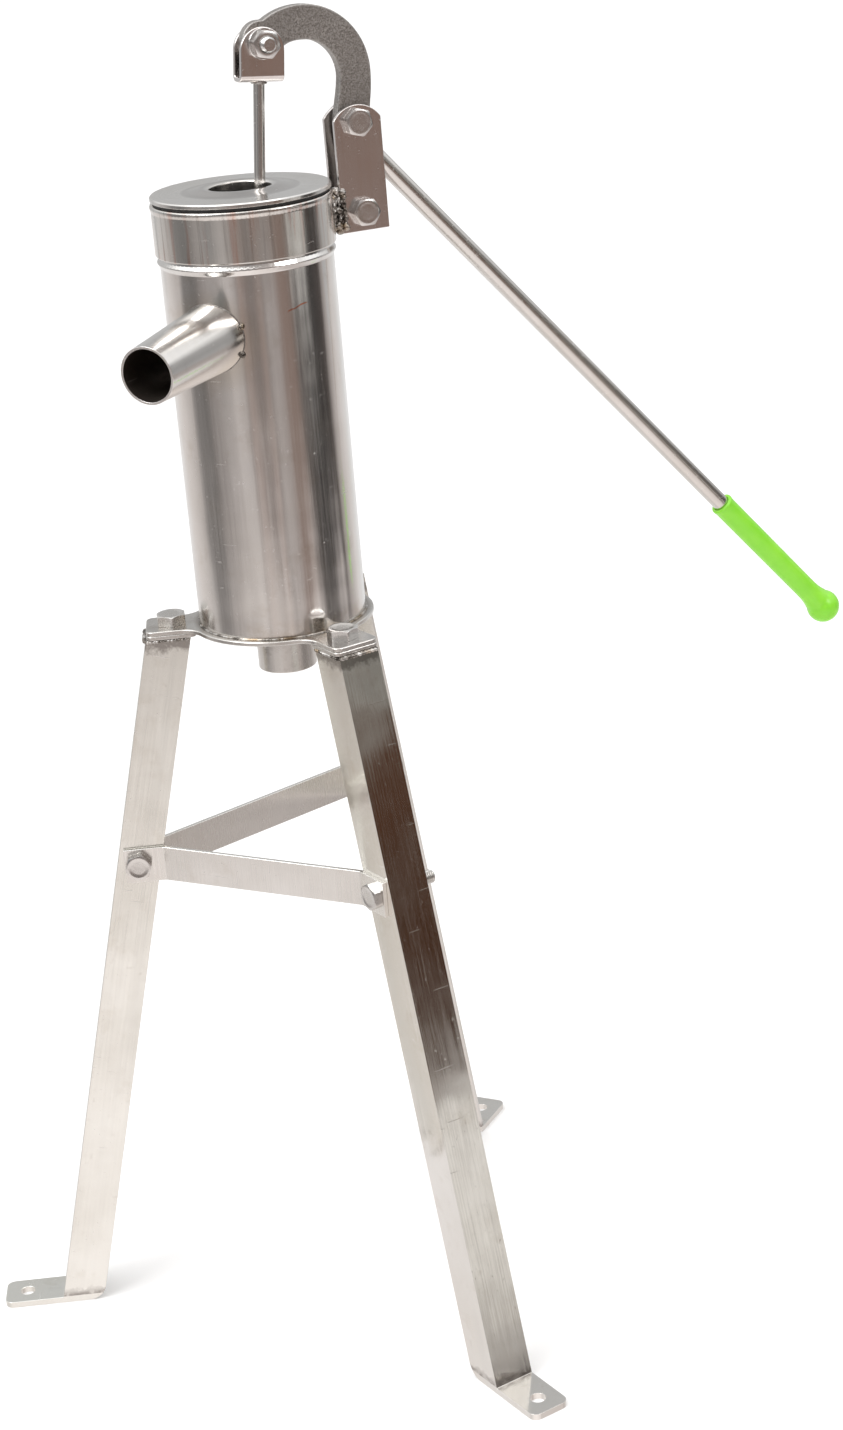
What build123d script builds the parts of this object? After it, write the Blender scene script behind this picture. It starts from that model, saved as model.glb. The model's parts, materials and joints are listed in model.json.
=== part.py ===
from build123d import *
import os
from math import sin, cos, tan, atan, atan2, hypot, radians, degrees, pi

os.makedirs("parts", exist_ok=True)

# ---------------------------------------------------------------- driving dimensions (mm)
# Origin: centre of the three anchor holes on the ground.  +Z up, spout towards -Y.
BARREL_OR = 57.15          # 114.3 mm pipe
BARREL_WALL = 2.0
BARREL_Z0 = 514.4          # top face of the base flange
BARREL_Z1 = 799.0
BEAD_Z = 762.5             # rolled bead under the collar
COLLAR_OR = 59.4
COLLAR_Z0, COLLAR_Z1 = 766.8, 800.2
LID_Z = 802.2              # underside of the lid's rim
LID_HOLE_R = 20.5

PLATE_T = 3.0
EAR_R = 94.2               # outer end of an ear
EAR_W = 34.0
DISC_R = 62.5
EAR_BOLT_R = 76.5          # bolt circle radius of the ears
EAR_HOLE_R = 6.5

STUB_OR, STUB_IR = 20.0, 18.0
STUB_Z0, STUB_Z1 = 477.0, 511.4

LEG_W = 30.0               # equal angle 30 x 30 x 3
LEG_T = 3.0
FOOT_T = 4.5               # foot tab
FOOT_R = 13.0              # rounded lower corner of the inward flange
LEG_R0 = 213.8             # outer face of the leg at the ground
LEG_SLOPE = 0.2343         # inward lean per unit of height
TAB_END_R = 256.0
ANCHOR_R = 240.0           # anchor hole circle radius
ANCHOR_HOLE_R = 5.5

BRACE_W, BRACE_T = 25.0, 3.0
BRACE_BOLT_Z = 346.0
FRONT_BRACE_Z = 345.0
SIDE_BRACE_Z = 350.0

SPOUT_Z = 719.6            # spout axis height at the barrel
SPOUT_DROP = 3.1           # degrees below level
SPOUT_START = 40.0
SPOUT_END = 137.0
SPOUT_R0, SPOUT_R1 = 23.4, 18.8
SPOUT_WALL = 1.6

LEVER_AZ = 50.0            # azimuth of the lever's plane
PIVOT = (81.1, 838.5)      # (radius, height) in the lever's plane
LOW_BOLT = (81.3, 779.8)
PIN = (22.4, 895.2)        # clevis pin
ROD_LEAN = 5.49            # degrees, pump rod at rest
FOOT_Z = 661.0             # rod foot pin height at rest
ARM_T = 8.0
PLATE_IN = 7.0             # half gap between the bracket plates
HANDLE_R = 6.0
HANDLE_P = (105.1, 803.8)  # a point of the handle's axis
HANDLE_Q = (430.0, 430.7)  # centre of the ball end
GRIP_LEN = 127.5           # grip's start to the ball's centre
GRIP_R = 8.3
BALL_R = 12.2
ROD_R = 3.75

PISTON_R = 54.85           # cup leather

M10_AF, M12_AF = 17.0, 19.0

LEGS = {"leg_front_left": (210.0, 1), "leg_front_right": (330.0, -1), "leg_rear": (90.0, 1)}


# ---------------------------------------------------------------- planes and small profiles
def radial(az):
    return Vector(cos(radians(az)), sin(radians(az)), 0)


def tangent(az):
    return Vector(-sin(radians(az)), cos(radians(az)), 0)


ER = radial(LEVER_AZ)
EN = Vector(sin(radians(LEVER_AZ)), -cos(radians(LEVER_AZ)), 0)
EZ = Vector(0, 0, 1)


def lever_plane(offset=0.0):
    # local x = radius, local y = height
    return Plane(origin=EN * offset, x_dir=ER, z_dir=EN)


def at_lever(p, offset=0.0):
    # a plane normal to the lever's plane centred on the (radius, height) point p
    return Plane(origin=ER * p[0] + EZ * p[1] + EN * offset, x_dir=ER, z_dir=EN)


def unit(x, y):
    n = hypot(x, y)
    return x / n, y / n


def show_out(builder, name):
    builder.part.label = name
    export_step(builder.part, f"parts/{name}.step")


# ================================================================= STAND
LEG_ANG = atan(LEG_SLOPE)
STAND_TOP = BARREL_Z0 - 2 * PLATE_T


def leg_axis(az):
    return (EZ - radial(az) * LEG_SLOPE).normalized()


def leg_plane(az):
    # local x = tangential, local y = inward, local z = up along the leg
    return Plane(origin=radial(az) * LEG_R0, x_dir=tangent(az), z_dir=leg_axis(az))


def leg_point(az, m, x, y, z):
    # world point on the leg: x across, y inward from the outer face, at world height z
    pl = leg_plane(az)
    base = pl.from_local_coords(Vector(x, y, 0))
    ax = leg_axis(az)
    return base + ax * ((z - base.Z) / ax.Z)


legs = {}
for name, (az, m) in LEGS.items():
    r, t = radial(az), tangent(az)
    with BuildPart() as leg:
        # the rolled angle, drawn square to its own axis
        with BuildSketch(leg_plane(az).offset(-30)):
            with BuildLine():
                Polyline(
                    (-m * LEG_W / 2, 0), (m * LEG_W / 2, 0), (m * LEG_W / 2, LEG_W),
                    (m * (LEG_W / 2 - LEG_T), LEG_W), (m * (LEG_W / 2 - LEG_T), LEG_T),
                    (-m * LEG_W / 2, LEG_T), close=True)
            make_face()
        extrude(amount=620)
        # cut level with the ground and with the head plate
        with BuildSketch(Plane.XY):
            Rectangle(700, 700)
        extrude(amount=STAND_TOP, mode=Mode.INTERSECT)
        # foot tab turned outwards along the ground
        with BuildSketch(Plane(origin=(0, 0, 0), x_dir=r, z_dir=(0, 0, 1))):
            with Locations(((LEG_R0 - 3.2 + TAB_END_R) / 2, 0)):
                Rectangle(TAB_END_R - LEG_R0 + 3.2, LEG_W)
        extrude(amount=FOOT_T)
        fillet(leg.edges().filter_by(Axis.Z).filter_by(
            lambda e: (e.center().X * r.X + e.center().Y * r.Y) > TAB_END_R - 1), 6)
        # the inward flange is rounded off at its foot
        corner = leg_point(az, m, m * (LEG_W - LEG_T) / 2, LEG_W, 0)
        fillet(leg.edges().filter_by(lambda e: (e.center() - corner).length < 2.0 and e.length < LEG_T + 0.2), FOOT_R)
        # anchor hole
        with BuildSketch(Plane(origin=r * ANCHOR_R, x_dir=r, z_dir=(0, 0, 1)).offset(-1)):
            Circle(ANCHOR_HOLE_R)
        extrude(amount=FOOT_T + 2, mode=Mode.SUBTRACT)
        # brace bolt hole through the inward flange
        hp = leg_point(az, m, 0, 14.5, BRACE_BOLT_Z)
        with BuildSketch(Plane(origin=hp, x_dir=(0, 0, 1), z_dir=t * m)):
            Circle(5.4)
        extrude(amount=LEG_W, mode=Mode.SUBTRACT)
    legs[name] = leg
    show_out(leg, name)


def eared_plate(sketch_z, centre_hole):
    # round plate with three ears over the legs
    with BuildPart() as plate:
        with BuildSketch(Plane.XY.offset(sketch_z)):
            Circle(DISC_R)
            for az, m in LEGS.values():
                with Locations(Location(radial(az) * (EAR_R / 2), (0, 0, az))):
                    RectangleRounded(EAR_R, EAR_W, 5.0)
        extrude(amount=PLATE_T)
        # the ears run into the disc with a soft corner
        fillet(plate.edges().filter_by(Axis.Z).filter_by(
            lambda e: abs(hypot(e.center().X, e.center().Y) - DISC_R) < 0.2), 16)
        with BuildSketch(Plane.XY.offset(sketch_z)):
            Circle(centre_hole)
            with PolarLocations(EAR_BOLT_R, 3, start_angle=90):
                Circle(EAR_HOLE_R)
        extrude(amount=PLATE_T, mode=Mode.SUBTRACT)
    return plate


# each leg's own tab, welded over its top and bolted under an ear
with BuildPart() as leg_top_tabs:
    with BuildSketch(Plane.XY.offset(STAND_TOP)):
        for az, m in LEGS.values():
            with Locations(Location(radial(az) * (EAR_R + 60.0) / 2, (0, 0, az))):
                RectangleRounded(EAR_R - 60.0, EAR_W, 4.0)
        with PolarLocations(EAR_BOLT_R, 3, start_angle=90):
            Circle(EAR_HOLE_R, mode=Mode.SUBTRACT)
    extrude(amount=PLATE_T)
show_out(leg_top_tabs, "leg_top_tabs")
base_flange = eared_plate(STAND_TOP + PLATE_T, STUB_IR)
show_out(base_flange, "base_flange")


def leg_bolt_plane(az, m, out):
    # out: distance from the leg's middle along the bolt, positive towards the head
    hp = leg_point(az, m, 0, 14.5, BRACE_BOLT_Z)
    return Plane(origin=hp + tangent(az) * (m * out), x_dir=(0, 0, 1), z_dir=tangent(az) * m)


# ---- flat braces; each lies on the inward flange of both its legs
def flange_line(az, m, outside, radius_in):
    # plan point on the leg's inward flange, at a distance outside (+) or inside (-) of its outer face
    t = tangent(az)
    x = m * (LEG_W / 2 + outside)
    p = radial(az) * radius_in + t * x
    return p.X, p.Y


def brace(pts, z, left, ends):
    with BuildPart() as strap:
        with BuildSketch(Plane.XY.offset(z - BRACE_W / 2)):
            with BuildLine():
                FilletPolyline(*pts, radius=6)
                offset(amount=BRACE_T, side=Side.LEFT if left else Side.RIGHT)
            make_face()
        extrude(amount=BRACE_W)
        # bolt holes in line with the holes of both legs
        with BuildSketch(*[leg_bolt_plane(az, m, 0) for az, m in ends]):
            Circle(5.4)
        extrude(amount=LEG_W, mode=Mode.SUBTRACT)
    return strap


L, R_, B = LEGS["leg_front_left"], LEGS["leg_front_right"], LEGS["leg_rear"]
# front brace: on the outside of both front legs' inward flanges
front = brace([flange_line(*L, 0, 127.5), flange_line(*L, 0, 99.0),
               flange_line(*R_, 0, 99.0), flange_line(*R_, 0, 127.5)], FRONT_BRACE_Z, False, (L, R_))
show_out(front, "brace_front")
# left brace: inside of the left leg's flange, outside of the rear leg's flange
left = brace([flange_line(*L, -3.0, 124.0), flange_line(*L, -3.0, 99.0),
              flange_line(*B, 0, 99.0), flange_line(*B, 0, 127.5)], SIDE_BRACE_Z, True, (L, B))
show_out(left, "brace_left")
# right brace: inside of the right leg's flange, inside of the rear leg's flange
right = brace([flange_line(*R_, -3.0, 124.0), flange_line(*R_, -3.0, 99.0),
               flange_line(*B, -3.0, 99.0), flange_line(*B, -3.0, 124.0)], SIDE_BRACE_Z, False, (R_, B))
show_out(right, "brace_right")


# ---- hex bolts, nuts and washers
BRACE_HEAD, BRACE_NUT = 18.0, 9.0
heads = [leg_bolt_plane(az, m, BRACE_HEAD) for az, m in LEGS.values()]
with BuildPart() as brace_bolts:
    with BuildSketch(*heads):
        RegularPolygon(M10_AF / 2, 6, major_radius=False, rotation=12)
    extrude(amount=6.4)
    with BuildSketch(*heads[:2]):
        Circle(5.0)
    extrude(amount=-46)
    with BuildSketch(heads[2]):
        Circle(5.0)
    extrude(amount=-38)
show_out(brace_bolts, "brace_bolts")
with BuildPart() as brace_washers:
    with BuildSketch(*[leg_bolt_plane(az, m, BRACE_NUT - 2.0) for az, m in LEGS.values()]):
        Circle(10)
        Circle(5.2, mode=Mode.SUBTRACT)
    extrude(amount=2.0)
show_out(brace_washers, "brace_washers")
with BuildPart() as brace_nuts:
    with BuildSketch(*[leg_bolt_plane(az, m, BRACE_NUT - 10.0) for az, m in LEGS.values()]):
        RegularPolygon(M10_AF / 2, 6, major_radius=False, rotation=20)
        Circle(5.0, mode=Mode.SUBTRACT)
    extrude(amount=8.0)
show_out(brace_nuts, "brace_nuts")


def ear_plane(az, z):
    return Plane(origin=radial(az) * EAR_BOLT_R + EZ * z, x_dir=radial(az), z_dir=(0, 0, 1))


with BuildPart() as flange_bolts:
    with BuildSketch(*[ear_plane(az, BARREL_Z0) for az, m in LEGS.values()]):
        RegularPolygon(M12_AF / 2, 6, major_radius=False)
    extrude(amount=7.5)
    with BuildSketch(*[ear_plane(az, BARREL_Z0) for az, m in LEGS.values()]):
        Circle(6.0)
    extrude(amount=-26)
show_out(flange_bolts, "flange_bolts")
with BuildPart() as flange_washers:
    with BuildSketch(*[ear_plane(az, STAND_TOP - 2.0) for az, m in LEGS.values()]):
        Circle(11)
        Circle(6.3, mode=Mode.SUBTRACT)
    extrude(amount=2.0)
show_out(flange_washers, "flange_washers")
with BuildPart() as flange_nuts:
    with BuildSketch(*[ear_plane(az, STAND_TOP - 12.0) for az, m in LEGS.values()]):
        RegularPolygon(M12_AF / 2, 6, major_radius=False)
        Circle(6.0, mode=Mode.SUBTRACT)
    extrude(amount=10.0)
show_out(flange_nuts, "flange_nuts")

# ================================================================= PUMP BODY
with BuildPart() as inlet_stub:
    with BuildSketch(Plane.XY.offset(STUB_Z0)):
        Circle(STUB_OR)
        Circle(STUB_IR, mode=Mode.SUBTRACT)
    extrude(amount=STUB_Z1 - STUB_Z0)
    chamfer(inlet_stub.edges().group_by(Axis.Z)[0], 0.5)
show_out(inlet_stub, "inlet_stub")

# spout axis frame: local z runs down the spout, away from the barrel
SD = Vector(0, -cos(radians(SPOUT_DROP)), -sin(radians(SPOUT_DROP)))
SPOUT_LEN = (SPOUT_END - SPOUT_START) / cos(radians(SPOUT_DROP))
spout_plane = Plane(origin=(0, -SPOUT_START, SPOUT_Z), x_dir=(1, 0, 0), z_dir=SD)

with BuildPart() as barrel:
    # tube with one rolled bead under the collar
    with BuildSketch(Plane.XZ):
        with BuildLine():
            ro, ri = BARREL_OR, BARREL_OR - BARREL_WALL
            b = 1.6
            Line((ri, BARREL_Z0), (ro, BARREL_Z0))
            Line((ro, BARREL_Z0), (ro, BEAD_Z - 3.6))
            Spline((ro, BEAD_Z - 3.6), (ro + b, BEAD_Z), (ro, BEAD_Z + 3.4), tangents=((0.25, 1), (-0.25, 1)))
            Line((ro, BEAD_Z + 3.4), (ro, BARREL_Z1))
            Line((ro, BARREL_Z1), (ri, BARREL_Z1))
            Line((ri, BARREL_Z1), (ri, BARREL_Z0))
        make_face()
    revolve(axis=Axis.Z)
    # spout opening
    with BuildSketch(spout_plane):
        Circle(SPOUT_R0 - SPOUT_WALL)
    with BuildSketch(spout_plane.offset(SPOUT_LEN)):
        Circle(SPOUT_R1 - SPOUT_WALL)
    loft(mode=Mode.SUBTRACT)
show_out(barrel, "barrel")

with BuildPart() as spout:
    with BuildSketch(spout_plane):
        Circle(SPOUT_R0)
    with BuildSketch(spout_plane.offset(SPOUT_LEN)):
        Circle(SPOUT_R1)
    loft()
    with BuildSketch(spout_plane):
        Circle(SPOUT_R0 - SPOUT_WALL)
    with BuildSketch(spout_plane.offset(SPOUT_LEN)):
        Circle(SPOUT_R1 - SPOUT_WALL)
    loft(mode=Mode.SUBTRACT)
    with BuildSketch(Plane.XY.offset(SPOUT_Z - 60)):
        Circle(BARREL_OR)
    extrude(amount=120, mode=Mode.SUBTRACT)
show_out(spout, "spout")

with BuildPart() as collar:
    with BuildSketch(Plane.XZ):
        with BuildLine():
            ri, ro = BARREL_OR + 0.05, COLLAR_OR
            Polyline((ri, COLLAR_Z0), (ro - 0.5, COLLAR_Z0), (ro, COLLAR_Z0 + 0.5), (ro, COLLAR_Z1 - 5.0))
            Spline((ro, COLLAR_Z1 - 5.0), (ro + 0.5, COLLAR_Z1 - 2.4), (ro - 0.9, COLLAR_Z1),
                   tangents=((0.2, 1), (-1, 0.1)))
            Polyline((ro - 0.9, COLLAR_Z1), (ri, COLLAR_Z1), (ri, COLLAR_Z0))
        make_face()
    revolve(axis=Axis.Z)
show_out(collar, "collar")

with BuildPart() as lid_seal:
    with BuildSketch(Plane.XY.offset(COLLAR_Z1)):
        Circle(COLLAR_OR - 1.6)
        Circle(COLLAR_OR - 7.5, mode=Mode.SUBTRACT)
    extrude(amount=LID_Z - COLLAR_Z1)
show_out(lid_seal, "lid_seal")

with BuildPart() as lid:
    # pressed plate: thick rim, flat outer ring, low crown rising to a lip turned down into the central hole
    with BuildSketch(Plane.XZ):
        with BuildLine():
            Polyline((COLLAR_OR - 0.3, LID_Z), (COLLAR_OR, LID_Z + 0.4), (COLLAR_OR, LID_Z + 2.2),
                     (COLLAR_OR - 0.8, LID_Z + 3.0), (38.5, LID_Z + 3.0))
            Spline((38.5, LID_Z + 3.0), (LID_HOLE_R + 9.0, LID_Z + 4.4), (LID_HOLE_R + 2.2, LID_Z + 5.0),
                   (LID_HOLE_R, LID_Z + 3.4), tangents=((-1, 0), (0, -1)))
            Polyline((LID_HOLE_R, LID_Z + 3.4), (LID_HOLE_R, LID_Z - 1.4), (LID_HOLE_R + 1.8, LID_Z - 1.4),
                     (LID_HOLE_R + 1.8, LID_Z + 1.4), (36.0, LID_Z), (COLLAR_OR - 0.3, LID_Z))
        make_face()
    revolve(axis=Axis.Z)
show_out(lid, "lid")

# ---- foot valve in the bottom of the barrel
SEAT_T = 5.0
with BuildPart() as foot_valve_seat:
    with BuildSketch(Plane.XY.offset(BARREL_Z0)):
        Circle(36)
    extrude(amount=SEAT_T)
    with BuildSketch(Plane.XY.offset(BARREL_Z0)):
        Circle(4.06)
        with PolarLocations(11.4, 6):
            Circle(4.4)
        with PolarLocations(29, 4, start_angle=45):
            Circle(2.2)
    extrude(amount=SEAT_T, mode=Mode.SUBTRACT)
show_out(foot_valve_seat, "foot_valve_seat")
screw_heads = [Plane(origin=radial(az) * 29 + EZ * (BARREL_Z0 + SEAT_T), x_dir=radial(az), z_dir=(0, 0, 1))
               for az in (45, 135, 225, 315)]
with BuildPart() as foot_valve_screws:
    with BuildSketch(*screw_heads):
        Circle(3.6)
    extrude(amount=2.4)
    with BuildSketch(*screw_heads):
        Circle(2.0)
    extrude(amount=-SEAT_T)
show_out(foot_valve_screws, "foot_valve_screws")
with BuildPart() as foot_valve_disc:
    with BuildSketch(Plane.XY.offset(BARREL_Z0 + SEAT_T + 0.1)):
        Circle(22)
        Circle(4.0, mode=Mode.SUBTRACT)
    extrude(amount=3.4)
show_out(foot_valve_disc, "foot_valve_disc")
with BuildPart() as foot_valve_stem:
    z0 = BARREL_Z0 + SEAT_T + 0.1 + 3.4
    with BuildSketch(Plane.XY.offset(z0)):
        Circle(15)
    extrude(amount=3.0)
    chamfer(foot_valve_stem.edges().group_by(Axis.Z)[-1], 1.0)
    with BuildSketch(Plane.XY.offset(z0)):
        Circle(4.0)
    extrude(amount=-22)
show_out(foot_valve_stem, "foot_valve_stem")
with BuildPart() as foot_valve_clip:
    with BuildSketch(Plane.XY.offset(BARREL_Z0 - 9.5)):
        Circle(6.6)
        Circle(4.0, mode=Mode.SUBTRACT)
    extrude(amount=1.6)
show_out(foot_valve_clip, "foot_valve_clip")

# ================================================================= BRACKET ON THE COLLAR
BR_L, BR_R = 65.2, 98.6
BR_Z0, BR_SH, BR_TOP = 767.0, 840.0, 849.3


def bracket_plate(start):
    with BuildPart() as plate:
        with BuildSketch(lever_plane(start)):
            with BuildLine():
                Line((BR_L, BR_SH), (BR_L, BR_Z0))
                Line((BR_L, BR_Z0), (BR_R, BR_Z0))
                Line((BR_R, BR_Z0), (BR_R, BR_SH))
                ThreePointArc((BR_R, BR_SH), ((BR_L + BR_R) / 2, BR_TOP), (BR_L, BR_SH))
            make_face()
            with Locations(PIVOT, LOW_BOLT):
                Circle(5.2, mode=Mode.SUBTRACT)
        extrude(amount=PLATE_T)
    return plate


bracket_near = bracket_plate(PLATE_IN)
show_out(bracket_near, "bracket_plate_near")
bracket_far = bracket_plate(-PLATE_IN - PLATE_T)
show_out(bracket_far, "bracket_plate_far")

with BuildPart() as bracket_web:
    with BuildSketch(lever_plane(-PLATE_IN)):
        with Locations((63.5, 781.5)):
            Rectangle(17.0, 27.0)
    extrude(amount=2 * PLATE_IN)
    with BuildSketch(Plane.XY.offset(760)):
        Circle(COLLAR_OR)
    extrude(amount=60, mode=Mode.SUBTRACT)
show_out(bracket_web, "bracket_web")

with BuildPart() as clamp_sleeve:
    with BuildSketch(at_lever(LOW_BOLT, -PLATE_IN)):
        Circle(8.0)
        Circle(5.1, mode=Mode.SUBTRACT)
    extrude(amount=2 * PLATE_IN)
show_out(clamp_sleeve, "clamp_sleeve")

OUT = PLATE_IN + PLATE_T
for name, p, spin in (("pivot_bolt", PIVOT, 0), ("clamp_bolt", LOW_BOLT, 12)):
    with BuildPart() as bolt:
        with BuildSketch(at_lever(p, OUT)):
            RegularPolygon(M10_AF / 2, 6, major_radius=False, rotation=spin)
        extrude(amount=6.4)
        with BuildSketch(at_lever(p, OUT)):
            Circle(5.0)
        extrude(amount=-35)
    show_out(bolt, name)
with BuildPart() as bracket_nuts:
    with BuildSketch(*[at_lever(p, -OUT - 10.0) for p in (PIVOT, LOW_BOLT)]):
        RegularPolygon(M10_AF / 2, 6, major_radius=False, rotation=10)
        Circle(5.0, mode=Mode.SUBTRACT)
    extrude(amount=8.0)
show_out(bracket_nuts, "bracket_nuts")
with BuildPart() as bracket_washers:
    with BuildSketch(*[at_lever(p, -OUT - 2.0) for p in (PIVOT, LOW_BOLT)]):
        Circle(10)
        Circle(5.0, mode=Mode.SUBTRACT)
    extrude(amount=2.0)
show_out(bracket_washers, "bracket_washers")

# ================================================================= LEVER
HX, HY = unit(HANDLE_Q[0] - HANDLE_P[0], HANDLE_Q[1] - HANDLE_P[1])
S_PIV = (PIVOT[0] - HANDLE_P[0]) * HX + (PIVOT[1] - HANDLE_P[1]) * HY     # foot of the pivot on the handle's axis
HANDLE_S0 = S_PIV + 19.0
HANDLE_LEN = hypot(HANDLE_Q[0] - HANDLE_P[0], HANDLE_Q[1] - HANDLE_P[1])


def on_handle(s, off=0.0):
    return (HANDLE_P[0] + HX * s - HY * off, HANDLE_P[1] + HY * s + HX * off)


ARC_C = (50.0, 869.3)
ARC_RO, ARC_RI = 46.9, 24.8
with BuildPart() as arm:
    # gooseneck cut from flat plate
    with BuildSketch(lever_plane(-ARM_T / 2)):
        with BuildLine():
            # outer edge, from the pin's eye round to the pivot
            a0 = (ARC_C[0] + ARC_RO * cos(radians(122)), ARC_C[1] + ARC_RO * sin(radians(122)))
            a1 = (ARC_C[0] + ARC_RO, ARC_C[1])
            ThreePointArc(a0, (ARC_C[0] + ARC_RO * cos(radians(60)), ARC_C[1] + ARC_RO * sin(radians(60))), a1)
            Spline(a1, (PIVOT[0] + 13.2, PIVOT[1] + 7.0), on_handle(HANDLE_S0, 7.6), tangents=((0, -1), (HX, HY)))
            Line(on_handle(HANDLE_S0, 7.6), on_handle(HANDLE_S0, -7.6))
            # heel that rests against the bracket web when the handle hangs down
            Line(on_handle(HANDLE_S0, -7.6), (82.0, 806.0))
            Line((82.0, 806.0), (82.0, 794.5))
            Line((82.0, 794.5), (72.4, 794.5))
            Line((72.4, 794.5), (72.4, 812.0))
            i1 = (ARC_C[0] + ARC_RI, ARC_C[1] - 4.0)
            Spline((72.4, 812.0), (PIVOT[0] - 11.4, PIVOT[1]), i1, tangents=((-0.12, 1), (0.12, 1)))
            i0 = (ARC_C[0] + 4.0, ARC_C[1] + ARC_RI - 0.3)
            ThreePointArc(i1, (ARC_C[0] + ARC_RI * cos(radians(42)), ARC_C[1] + ARC_RI * sin(radians(42))), i0)
            # eye round the clevis pin
            e0 = (PIN[0] + 8.6, PIN[1] - 8.0)
            Spline(i0, (42.0, 893.2), e0, tangents=((-1, 0.08), (-0.85, -0.5)))
            ThreePointArc(e0, (PIN[0] - 10.6, PIN[1] - 4.6), a0)
        make_face()
        with Locations(PIN):
            Circle(5.05, mode=Mode.SUBTRACT)
        with Locations(PIVOT):
            Circle(8.0, mode=Mode.SUBTRACT)
    extrude(amount=ARM_T)
show_out(arm, "gooseneck_arm")

with BuildPart() as pivot_bush:
    with BuildSketch(at_lever(PIVOT, -PLATE_IN + 0.3)):
        Circle(8.0)
        Circle(5.05, mode=Mode.SUBTRACT)
    extrude(amount=2 * PLATE_IN - 0.6)
show_out(pivot_bush, "pivot_bush")


def handle_plane(s):
    p = on_handle(s)
    d = ER * HX + EZ * HY
    return Plane(origin=ER * p[0] + EZ * p[1], x_dir=EN, z_dir=d)


with BuildPart() as handle_rod:
    with BuildSketch(handle_plane(HANDLE_S0)):
        Circle(HANDLE_R)
    extrude(amount=HANDLE_LEN - 8.0 - HANDLE_S0)
show_out(handle_rod, "handle_rod")

with BuildPart() as hand_grip:
    with BuildSketch(Plane(origin=handle_plane(HANDLE_LEN - GRIP_LEN).origin, x_dir=(ER * HX + EZ * HY), z_dir=EN)):
        with BuildLine():
            xe = GRIP_LEN + (BALL_R ** 2 - 3.0 ** 2) ** 0.5
            xn = GRIP_LEN - (BALL_R ** 2 - (GRIP_R + 0.2) ** 2) ** 0.5
            Polyline((0, 0), (0, GRIP_R - 1.2))
            ThreePointArc((0, GRIP_R - 1.2), (0.35, GRIP_R - 0.35), (1.2, GRIP_R))
            Line((1.2, GRIP_R), (xn, GRIP_R + 0.2))
            ThreePointArc((xn, GRIP_R + 0.2), (GRIP_LEN + 2, (BALL_R ** 2 - 4) ** 0.5), (GRIP_LEN + BALL_R, 0))
            Line((GRIP_LEN + BALL_R, 0), (0, 0))
        make_face()
    revolve(axis=Axis(handle_plane(HANDLE_LEN - GRIP_LEN).origin, ER * HX + EZ * HY))
    # blind bore over the rod's end
    with BuildSketch(handle_plane(HANDLE_LEN - GRIP_LEN - 1)):
        Circle(HANDLE_R)
    extrude(amount=GRIP_LEN + 1 - 8.0, mode=Mode.SUBTRACT)
show_out(hand_grip, "hand_grip")

# ================================================================= PUMP ROD
LX, LY = sin(radians(ROD_LEAN)), cos(radians(ROD_LEAN))       # up along the rod, in the lever's plane
RU = ER * LX + EZ * LY
RX = ER * LY - EZ * LX
pin_world = ER * PIN[0] + EZ * PIN[1]
ROD_LEN = PIN[0] / LX                                           # pin to foot pin
foot_world = pin_world - RU * ROD_LEN


def clevis_plane(offset=0.0):
    return Plane(origin=pin_world + EN * offset, x_dir=RX, z_dir=EN)


EAR_IN, EAR_OUT = 4.4, 7.4
with BuildPart() as clevis:
    # U-shaped strap, seen from its open side, then its ears are rounded
    with BuildSketch(Plane(origin=pin_world - RX * 15, x_dir=-EN, z_dir=RX)):
        with BuildLine():
            FilletPolyline((-EAR_OUT, 12), (-EAR_OUT, -24.5), (EAR_OUT, -24.5), (EAR_OUT, 12), radius=4.6)
            offset(amount=EAR_OUT - EAR_IN, side=Side.LEFT)
        make_face()
    extrude(amount=30)
    with BuildSketch(clevis_plane(-10)):
        with BuildLine():
            Line((-15, -4.5), (-15, -30))
            Line((-15, -30), (15, -30))
            Line((15, -30), (15, -4.5))
            ThreePointArc((15, -4.5), (0, 10.5), (-15, -4.5))
        make_face()
    extrude(amount=20, mode=Mode.INTERSECT)
    with BuildSketch(clevis_plane(-10)):
        Circle(5.0)
    extrude(amount=20, mode=Mode.SUBTRACT)
show_out(clevis, "clevis")

clevis_head = Plane(origin=pin_world - EN * EAR_OUT, x_dir=RX, z_dir=-EN)
with BuildPart() as clevis_bolt:
    with BuildSketch(clevis_head):
        RegularPolygon(M10_AF / 2, 6, major_radius=False, rotation=8)
    extrude(amount=6.4)
    with BuildSketch(clevis_head):
        Circle(5.0)
    extrude(amount=-27.5)
    chamfer(clevis_bolt.faces().filter_by(lambda f: abs((f.center() - pin_world).dot(EN) - 20.1) < 0.1).edges(), 1.2)
show_out(clevis_bolt, "clevis_bolt")
with BuildPart() as clevis_washer:
    with BuildSketch(clevis_plane(EAR_OUT)):
        Circle(10)
        Circle(5.0, mode=Mode.SUBTRACT)
    extrude(amount=1.6)
show_out(clevis_washer, "clevis_washer")
with BuildPart() as clevis_nut:
    with BuildSketch(clevis_plane(EAR_OUT + 1.6)):
        RegularPolygon(M10_AF / 2, 6, major_radius=False, rotation=22)
        Circle(5.0, mode=Mode.SUBTRACT)
    extrude(amount=7.0)
show_out(clevis_nut, "clevis_nut")

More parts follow.
